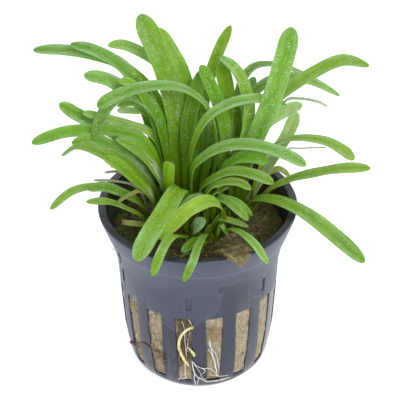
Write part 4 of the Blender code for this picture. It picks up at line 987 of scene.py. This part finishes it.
def make_pot(finish, inside_finish):
    """The net pot: turned, cut, and its edges softened."""
    lip = [(25.3, 51.35), (25.5, 51.6), (27.25, 51.6), (27.5, 51.35)]
    profile = [(0, FLOOR_THICKNESS), *POT_INSIDE[:-1], *lip, *POT_OUTSIDE[1:], (0, 0)]
    bm = bmesh.new()
    points = [bm.verts.new((r * MM, 0, z * MM)) for r, z in profile]
    for a, b in zip(points, points[1:]):
        bm.edges.new((a, b))
    mesh = bpy.data.meshes.new("pot_shell")
    bm.to_mesh(mesh)
    bm.free()
    shell = link("pot_turning", mesh)
    screw = shell.modifiers.new("turn", "SCREW")
    screw.steps = screw.render_steps = POT_STEPS
    screw.use_merge_vertices = True
    screw.merge_threshold = 0.01 * MM
    depth = SLOTS["outer"] - SLOTS["inner"]
    cutters = [
        cutter_boxes("slot_boxes", evenly(SLOTS["count"], FRONT + SLOT_STEP / 2),
                     (depth, SLOTS["width"], SLOTS["top"] - SLOTS["bottom"]),
                     (SLOTS["inner"] + depth / 2, (SLOTS["top"] + SLOTS["bottom"]) / 2), 0.35, SLOTS["foot"]),
        cutter_boxes("floor_boxes", evenly(FLOOR_SLOTS["count"], FRONT),
                     (FLOOR_SLOTS["end"] - FLOOR_SLOTS["start"], FLOOR_SLOTS["width"], 4 * FLOOR_THICKNESS),
                     ((FLOOR_SLOTS["end"] + FLOOR_SLOTS["start"]) / 2, FLOOR_THICKNESS / 2), 0),
        cutter_boxes("mark_boxes", [FRONT + math.radians(a) for a in MARKS["angles"]],
                     (2 * MARKS["depth"], MARKS["width"], MARKS["height"]),
                     (MARKS["wall"], MARKS["middle"]), 0.3),
    ]
    for cutter in cutters:
        boolean = shell.modifiers.new(cutter.name, "BOOLEAN")
        boolean.operation = "DIFFERENCE"
        boolean.solver = "EXACT"
        boolean.object = cutter
    bevel = shell.modifiers.new("soft_edges", "BEVEL")
    bevel.width = 0.12 * MM
    bevel.segments = 2
    bevel.limit_method = "ANGLE"
    bevel.angle_limit = math.radians(40)
    bevel.use_clamp_overlap = True
    bpy.context.view_layer.update()
    graph = bpy.context.evaluated_depsgraph_get()
    baked = bpy.data.meshes.new_from_object(shell.evaluated_get(graph))
    for old in (shell, *cutters):
        bpy.data.objects.remove(old)
    add_piece("net_pot", baked, finish, "pot", smooth=30)
    # the inside of the wall takes the near-black finish: painted shade, with dirt
    baked.materials.append(inside_finish)
    for face in baked.polygons:
        out = math.hypot(face.center.x, face.center.y) / MM
        high = face.center.z / MM
        facing = (face.normal.x * face.center.x + face.normal.y * face.center.y) / MM
        if out < outer_radius(high) - WALL_HALF and facing < -0.2 * out and high < 51.3:
            face.material_index = 1


def profile_radius(height, profile):
    """Radius of one of the pot's profiles at a height, in mm."""
    radii, heights = zip(*sorted(profile, key=lambda point: point[1]))
    return float(np.interp(height, heights, radii))


def inner_radius(height):
    return profile_radius(height, POT_INSIDE)


def outer_radius(height):
    return profile_radius(height, POT_OUTSIDE)


# ==== wool, moss and crowns ====

def wool_height(x, y):
    """Height of the wool's mossy top, in mm."""
    dome = 0.9 * math.cos(min(1.0, math.hypot(x, y) / RIM_RADIUS) * math.pi / 2)
    lumps = 0.35 * math.sin(x * 0.55 + 0.8) * math.cos(y * 0.47 - 0.4)
    away = math.hypot(x - BANK_CENTRE[0], y - BANK_CENTRE[1]) / BANK_SPREAD
    return WOOL_TOP + dome + lumps + BANK_HEIGHT * math.exp(-away * away)


def rough(x, y, z, size, seed=0.0):
    """Smooth noise in -1..1 with features of about the given size, all in mm."""
    return noise.noise(Vector((x / size + seed, y / size - seed, z / size + 2 * seed)))


def ground_height(x, y):
    """Height of the rough ground that is seen, a little above or below the wool's smooth top."""
    lumps = 0.6 * rough(x, y, 0, 3.0, 4.0) + 0.45 * rough(x, y, 0, 1.2, 9.0) + 0.22 * rough(x, y, 0, 0.5, 2.0)
    heap = math.exp(-((x - HEAP[0]) / HEAP[2]) ** 2 - ((y - HEAP[1]) / HEAP[3]) ** 2)
    return wool_height(x, y) + lumps * (1 + heap) + HEAP[4] * heap


def polar(r, angle):
    return r * math.cos(angle), r * math.sin(angle)


def hollow_share(angle, z):
    """1 in the slot left of the front where the wool has sunk back, 0 elsewhere."""
    degrees = math.degrees(math.atan2(math.sin(angle), math.cos(angle)))
    sides = smoothstep((degrees - HOLLOW_FROM) / 3) * smoothstep((HOLLOW_TO - degrees) / 3)
    return float(sides * smoothstep((z - HOLLOW_FOOT) / 4))


def make_wool(finish):
    """The plug: a rough mossy top and a felted side that fills the slots, sunk back in one of them."""
    top_radius = inner_radius(WOOL_TOP) - WOOL_GAP
    points = []
    for i in range(1, WOOL_RINGS + 1):
        for j in range(WOOL_AROUND):
            angle = 2 * math.pi * j / WOOL_AROUND
            r = top_radius * i / WOOL_RINGS
            x, y = polar(r, angle)
            z = ground_height(x, y)
            if i == WOOL_RINGS:
                r = inner_radius(z) - WOOL_GAP
                x, y = polar(r, angle)
            points.append((x, y, z))
    for z in np.linspace(WOOL_TOP - 0.6, FLOOR_THICKNESS + WOOL_GAP, WOOL_LEVELS):
        for j in range(WOOL_AROUND):
            angle = 2 * math.pi * j / WOOL_AROUND
            r = inner_radius(z) - WOOL_GAP
            turn = (angle - FRONT - SLOT_STEP / 2) / SLOT_STEP
            aside = abs(turn - round(turn)) * SLOT_STEP * r
            up = (z - SLOTS["bottom"]) / (SLOTS["top"] - SLOTS["bottom"])
            half = SLOTS["width"] / 2 * (SLOTS["foot"] + (1 - SLOTS["foot"]) * up)
            open_here = (smoothstep((half + WOOL_PAST_SLOT - aside) / 0.35)
                         * smoothstep((z - SLOTS["bottom"] + 0.4) / 0.3)
                         * smoothstep((SLOTS["top"] + 0.4 - z) / 0.3))
            x, y = polar(r, angle)
            grain = 0.20 * rough(x, y, z, 1.2, 3.0) + 0.10 * rough(x, y, z * 0.4, 0.45, 6.0)
            flush = (outer_radius(z) - WOOL_UNDER_FACE + 0.30 * rough(x, y, z, 4.0, 1.0) + grain
                     - WOOL_SUNK * hollow_share(angle - FRONT, z))
            r += open_here * (flush - r) - (1 - open_here) * 0.1
            points.append((*polar(r, angle), z))
    mesh = mesh_of("wool_plug", np.array(points) * MM, ring_faces(WOOL_RINGS + WOOL_LEVELS, WOOL_AROUND))
    add_piece("wool_plug", mesh, finish, "rock_wool")


def strand(points, radii, sides):
    """Points in metres and faces of a round tube along points in mm."""
    points = np.asarray(points, float)
    ahead = np.gradient(points, axis=0)
    ahead /= np.linalg.norm(ahead, axis=1, keepdims=True) + 1e-12
    turn = np.linspace(0, 2 * np.pi, sides, endpoint=False)
    guide = np.array([0.31, 0.87, 0.38])
    if abs(ahead[0] @ guide) > 0.9:
        guide = np.array([0.9, -0.2, 0.38])
    right = np.cross(ahead, guide)
    right /= np.linalg.norm(right, axis=1, keepdims=True) + 1e-12
    over = np.cross(right, ahead)
    outward = (np.cos(turn)[None, :, None] * right[:, None, :]
               + np.sin(turn)[None, :, None] * over[:, None, :])
    ring = points[:, None, :] + np.asarray(radii, float)[:, None, None] * outward
    return ring.reshape(-1, 3) * MM, ring_faces(len(points), sides, flip=True)


def in_disc(rng, radius):
    """A chance place within a radius of the pot's axis."""
    r = radius * math.sqrt(rng.random())
    return polar(r, rng.uniform(0, 2 * math.pi))


def raised(height):
    """A step straight up."""
    return np.array([0, 0, height])


def make_crowns(finish):
    """Bundles of leaf bases: short stubs in a spiral that taper out of the wool."""
    for number, (name, (x, y, radius)) in enumerate(CROWNS.items()):
        rng = random.Random(CROWN_SEED + number)
        level = wool_height(x, y)
        pieces, tints = [], []
        count = int(14 + 3 * radius)
        for i in range(count):
            angle = STUB_TURN * i
            out = radius * 0.9 * math.sqrt((i + 0.5) / count)
            cx, cy = x + out * math.cos(angle), y + out * math.sin(angle)
            tall = CROWN_TOP + rng.uniform(0.2, 1.6) * (1.1 - out / radius)
            lean = rng.uniform(0.05, 0.25)
            path = [(cx + lean * (cx - x) * t * 0.35, cy + lean * (cy - y) * t * 0.35,
                     level - 1.6 + t * (1.6 + tall)) for t in np.linspace(0, 1, 6)]
            size = rng.uniform(0.55, 0.95)
            pieces.append(strand(path, [size * s for s in STUB_SHAPE], 8))
            tints.append([np.array(STALK_TINT) * rng.uniform(0.6, 1.05)] * len(pieces[-1][0]))
        part_way = [[0.3] * len(p[0]) for p in pieces]
        mesh = join_meshes(name, pieces, tint=tints, across=part_way, along=part_way)
        add_piece("base_of_" + name[6:], mesh, finish, name, smooth=60)


def make_flap(finish):
    """The ragged tongue of moss over the rim."""
    fine, lengths = curve_through([(r, 0, z) for r, z in FLAP_ROUTE])
    points, edge = [], []
    for side in (1, -1):
        for i in range(FLAP_ROWS):
            share = i / (FLAP_ROWS - 1)
            r, _, z = places(fine, lengths, share * lengths[-1])
            width = np.interp(share * 4, range(5), FLAP_WIDTHS)
            for j in range(FLAP_COLUMNS):
                across = 2 * j / (FLAP_COLUMNS - 1) - 1
                ragged = (1 + 0.16 * rough(share * 12, across * 2, 0, 1.3, 7.0)
                          + 0.10 * rough(share * 12, across * 2, 0, 0.5, 3.0))
                y = across * width / 2 * ragged
                bent = math.sqrt(max(r * r - y * y, 0))
                lump = 0.30 * rough(r, y * 2, z, 1.4, 2.0) + 0.14 * rough(r, y * 2, z, 0.5, 8.0)
                near_edge = max(abs(across), share ** 3)
                thick = 0.36 * (1 - 0.75 * near_edge ** 4)
                tilt = 1.0 - smoothstep((share - 0.7) / 0.3)
                lift = side * thick + lump * (0.6 if side > 0 else 0.3)
                points.append(FLAP_OUT * (bent + lift * (1 - tilt)) + FLAP_SIDE * y + raised(z + lift * tilt))
                edge.append(float(smoothstep((near_edge - 0.8) / 0.2) * smoothstep((share - 0.5) / 0.35)))
    faces = []
    sheet = FLAP_ROWS * FLAP_COLUMNS
    for i in range(FLAP_ROWS - 1):
        for j in range(FLAP_COLUMNS - 1):
            a, b = i * FLAP_COLUMNS + j, (i + 1) * FLAP_COLUMNS + j
            faces.append((a, b, b + 1, a + 1))
            faces.append((sheet + a, sheet + a + 1, sheet + b + 1, sheet + b))
    grid = np.arange(sheet).reshape(FLAP_ROWS, FLAP_COLUMNS)
    rim = [int(n) for n in (*grid[0], *grid[1:, -1], *grid[-1, -2::-1], *grid[-2:0:-1, 0])]
    for a, b in zip(rim, rim[1:] + rim[:1]):
        faces.append((a, b, sheet + b, sheet + a))
    mesh = mesh_of("moss_tongue", np.array(points) * MM, faces, edge=edge)
    add_piece("moss_tongue", mesh, finish, "moss_flap")


def make_moss(finish):
    """Small tufts of moss leaves over the wool, thickest round the heap."""
    rng = random.Random(TUFT_SEED)
    pieces, shades = [], []
    for number in range(TUFTS):
        if number % 3 == 0:
            x, y = rng.gauss(HEAP[0] + 1, 6.0), rng.gauss(HEAP[1], 3.4)
        else:
            x, y = in_disc(rng, TUFT_REACH)
        z = ground_height(x, y)
        if math.hypot(x, y) > inner_radius(z) - 0.5 or rough(x, y, 0, 5.0, 12.0) < -0.15:
            continue
        tone = rough(x, y, 0, 2.5, 20.0)
        for _ in range(3):
            turn = rng.uniform(0, 2 * math.pi)
            lean = rng.uniform(0.3, 1.2)
            long = rng.uniform(0.3, 1.0)
            wide = rng.uniform(0.06, 0.16)
            out = np.array([math.cos(turn), math.sin(turn), 0])
            flat = np.array([-math.sin(turn), math.cos(turn), 0])
            base = np.array([x, y, z - 0.15])
            middle = base + (out * math.sin(lean) + raised(math.cos(lean))) * long * 0.55
            end = base + (out * math.sin(lean + 0.4) + raised(math.cos(lean + 0.4))) * long
            pts = np.array([base, middle - flat * wide, middle + raised(0.05), middle + flat * wide, end])
            pieces.append((pts * MM, [(0, 1, 2), (0, 2, 3), (1, 4, 2), (2, 4, 3)]))
            shades.append([min(1.0, max(0.0, 0.5 + tone + rng.uniform(-0.35, 0.35)))] * 5)
    add_piece("moss_tufts", join_meshes("moss_tufts", pieces, shade=shades), finish)


def make_fibres(finish):
    """Loose fibres of the wool, on its top and at the slots."""
    rng = random.Random(FIBRE_SEED)
    pieces = []
    for _ in range(TOP_FIBRES):
        x, y = in_disc(rng, FIBRE_REACH)
        turn = rng.uniform(0, 2 * math.pi)
        path = []
        for t in range(6):
            path.append((x, y, ground_height(x, y) + 0.05 + 0.25 * math.sin(math.pi * t / 5) * rng.random()))
            turn += rng.uniform(-0.5, 0.5)
            x += 0.5 * math.cos(turn)
            y += 0.5 * math.sin(turn)
        if math.hypot(x, y) < inner_radius(WOOL_TOP) - 0.6:
            pieces.append(strand(path, [TOP_FIBRE] * 6, 3))
    for _ in range(SLOT_FIBRES):
        slot = rng.randrange(SLOTS["count"])
        angle = FRONT + SLOT_STEP / 2 + SLOT_STEP * slot + rng.uniform(-0.09, 0.09)
        z = rng.uniform(SLOTS["bottom"] + 0.6, SLOTS["top"] - 0.6)
        lean = rng.uniform(-0.3, 0.3)
        path = []
        for t in range(5):
            r = inner_radius(z) + 0.22 + 0.18 * math.sin(math.pi * t / 4)
            path.append((*polar(r, angle), z))
            z += FIBRE_STEP * math.cos(lean) * rng.uniform(0.4, 1)
            angle += FIBRE_STEP * math.sin(lean) / 21
            lean += rng.uniform(-0.6, 0.6)
        if z < SLOTS["top"] - 0.3:
            pieces.append(strand(path, [SLOT_FIBRE] * 5, 3))
    add_piece("wool_fibres", join_meshes("wool_fibres", pieces), finish)


def make_fuzz(finish):
    """Threads that stand out of the heap and the tongue of moss."""
    rng = random.Random(FUZZ_SEED)
    pieces, shades = [], []
    for number in range(THREADS):
        if number % 2:
            x, y = rng.gauss(HEAP[0], 5.0), rng.gauss(HEAP[1] - 0.5, 3.2)
            z = ground_height(x, y)
            if math.hypot(x, y) > inner_radius(z) - 0.4:
                continue
            start = np.array([x, y, z - 0.1])
            way = np.array([rng.gauss(0, 0.7), rng.gauss(-0.2, 0.7), rng.uniform(0.2, 1.0)])
        else:
            share = rng.random() ** 0.8
            width = np.interp(share * 4, range(5), FLAP_WIDTHS)
            r = np.interp(share * 4, range(5), [p[0] for p in FLAP_ROUTE])
            z = np.interp(share * 4, range(5), [p[1] for p in FLAP_ROUTE])
            across = rng.uniform(-1.08, 1.08) * width / 2
            start = FLAP_OUT * math.sqrt(r * r - across * across) + FLAP_SIDE * across + raised(z + 0.1)
            way = FLAP_OUT * rng.uniform(0.0, 0.8) + FLAP_SIDE * rng.gauss(0.15 * across, 0.6)
            way = way + raised(rng.uniform(-0.6, 0.8) - 0.8 * share)
        way = way / np.linalg.norm(way)
        long = rng.uniform(0.3, 1.1)
        bend = np.array([rng.gauss(0, 0.35), rng.gauss(0, 0.35), rng.gauss(-0.2, 0.3)])
        path = [start + way * long * t + bend * long * t * t for t in np.linspace(0, 1, 5)]
        pieces.append(strand(path, THREAD_SHAPE, 3))
        shades.append([rng.random()] * len(pieces[-1][0]))
    add_piece("moss_fuzz", join_meshes("moss_fuzz", pieces, shade=shades), finish)


# ==== roots ====

def in_front(x, z, out):
    """The place at x and z in front of the pot's axis, at a distance from it."""
    return x, -math.sqrt(out * out - x * x), z


def make_roots(thick_finish, thin_finish):
    for name, (radius, route) in ROOTS.items():
        fine, lengths = curve_through(route)
        at = np.linspace(0, lengths[-1], 60)
        place = places(fine, lengths, at)
        thick = name == "root_thick"
        radius = radius if thick else 0.62 * radius
        place = place + np.array([[0.14 * rough(t, 1, 0, 1.3, 2.0), 0, 0.10 * rough(t, 4, 0, 1.1, 3.0)]
                                  for t in at])
        size = [radius * (1.0 + 0.12 * rough(t, 0, 0, 1.5, 5.0)) * min(1.0, 0.35 + (lengths[-1] - t) * 0.5)
                for t in at]
        add_piece("living_" + name, mesh_of(name, *strand(place, size, 10)),
                  thick_finish if thick else thin_finish, name, smooth=60)


def make_fine_roots(pale_finish, brown_finish, sprout_finish):
    """Hair roots on the wall and in the slots."""
    rng = random.Random(ROOT_SEED)
    for name, routes, finish in (("fine_roots", PALE_ROOTS, pale_finish),
                                 ("brown_roots", BROWN_ROOTS, brown_finish)):
        pieces = []
        for radius, lift, route in routes:
            fine, lengths = curve_through([(x, 0, z) for x, z in route], 12)
            path = []
            for share in np.linspace(0, 1, 36):
                x, _, z = places(fine, lengths, share * lengths[-1])
                x += 0.10 * rough(x, share * 9, z, 1.1, rng.random())
                path.append(in_front(x, z, outer_radius(z) + lift + 0.12 * rough(x, 3, z, 1.5, 2.0)))
            size = [radius * min(1.0, 0.35 + 8 * min(t, 1.02 - t)) for t in np.linspace(0, 1, 36)]
            pieces.append(strand(path, size, 6))
        add_piece(name, join_meshes(name, pieces), finish, smooth=60)
    for name, (radii, route), lift, finish in (("sprout", SPROUT, (0.2, 0.9), sprout_finish),
                                               ("old_crumb", CRUMB, (0.3, 0.9), brown_finish)):
        lifts = np.linspace(*lift, len(route))
        path = [in_front(x, z, outer_radius(z) + up) for (x, z), up in zip(route, lifts)]
        fine, lengths = curve_through(path, 8)
        at = np.linspace(0, lengths[-1], 24)
        place = places(fine, lengths, at)
        size = np.interp(at / lengths[-1], np.linspace(0, 1, len(radii)), radii)
        add_piece(name, mesh_of(name, *strand(place, size, 10)), finish, smooth=60)


# ==== room, light and camera ====

def make_stage():
    """A pale floor, and a studio that gets brighter from the front to the back."""
    bm = bmesh.new()
    bmesh.ops.create_grid(bm, x_segments=1, y_segments=1, size=FLOOR_SIZE)
    mesh = bpy.data.meshes.new("floor")
    bm.to_mesh(mesh)
    bm.free()
    mesh.materials.append(floor_material())
    floor = link("floor", mesh)
    floor.location.z = -FLOOR_DROP * MM
    world = bpy.data.worlds.new("studio")
    bpy.context.scene.world = world
    world.use_nodes = True
    tree = world.node_tree
    background = tree.nodes["Background"]
    parts = tree.nodes.new("ShaderNodeSeparateXYZ")
    tree.links.new(tree.nodes.new("ShaderNodeTexCoord").outputs["Generated"], parts.inputs[0])
    ramp = tree.nodes.new("ShaderNodeMapRange")
    ramp.interpolation_type = "SMOOTHSTEP"
    tree.links.new(parts.outputs[1], ramp.inputs["Value"])
    for key, value in STUDIO:
        ramp.inputs[key].default_value = value
    tree.links.new(ramp.outputs[0], background.inputs["Strength"])
    background.inputs["Color"].default_value = STUDIO_TINT


def add_light(name, place, size, power):
    """A soft light that faces the plant."""
    light = bpy.data.lights.new(name, "AREA")
    light.shape = "RECTANGLE"
    light.size, light.size_y = size
    light.energy = power
    made = link(name, light)
    made.location = place
    made.rotation_euler = (LIGHTS_FACE - Vector(place)).to_track_quat("-Z", "Y").to_euler()


def make_camera():
    e = CAMERA_ELEVATION
    ahead = Vector((0, math.cos(e), -math.sin(e)))
    right = Vector((1, 0, 0))
    up = Vector((0, math.sin(e), math.cos(e)))
    rolled_right = right * math.cos(CAMERA_ROLL) + up * math.sin(CAMERA_ROLL)
    rolled_up = up * math.cos(CAMERA_ROLL) - right * math.sin(CAMERA_ROLL)
    camera = link("camera", bpy.data.cameras.new("camera"))
    camera.matrix_world = Matrix((
        (rolled_right.x, rolled_up.x, -ahead.x, 0), (rolled_right.y, rolled_up.y, -ahead.y, 0),
        (rolled_right.z, rolled_up.z, -ahead.z, 0), (0, 0, 0, 1),
    ))
    camera.location = LOOK_AT - ahead * CAMERA_DISTANCE
    camera.data.sensor_width = SENSOR
    camera.data.lens = SENSOR * FOCAL_PIXELS / FRAME_PIXELS
    camera.data.clip_start = 0.01
    camera.data.clip_end = 20
    bpy.context.scene.view_settings.view_transform = "Standard"
    bpy.context.scene.camera = camera


def main():
    leaf_finish = leaf_material()
    make_leaves(leaf_finish)
    make_pot(pot_material(), inner_material())
    make_wool(wool_material())
    make_crowns(leaf_finish)
    thin_finish = root_material("root_thin", "#c9c8c0", "#e6e5e2")
    make_roots(root_material("root_thick", "#c2b166", "#e6deb2"), thin_finish)
    make_fine_roots(thin_finish, root_material("root_brown", "#53392a", "#7d604a"),
                    root_material("sprout", "#bccb72", "#dcdf9c"))
    make_flap(moss_material("moss_tongue", "#4a3b24", "#726a40", "#8f8a58", "#bdb47c"))
    make_moss(moss_material("moss_tufts", "#26300e", "#4a5a1c", "#5f5230", shaded="#86804a"))
    make_fuzz(moss_material("moss_fuzz", "#4f4426", "#7a6a3e", "#6a4a34", shaded="#b9ac7c"))
    make_fibres(moss_material("wool_fibres", "#8a7a58", "#bfb08c", "#d8cdb0"))
    make_stage()
    for light in LIGHTS:
        add_light(*light)
    make_camera()


main()
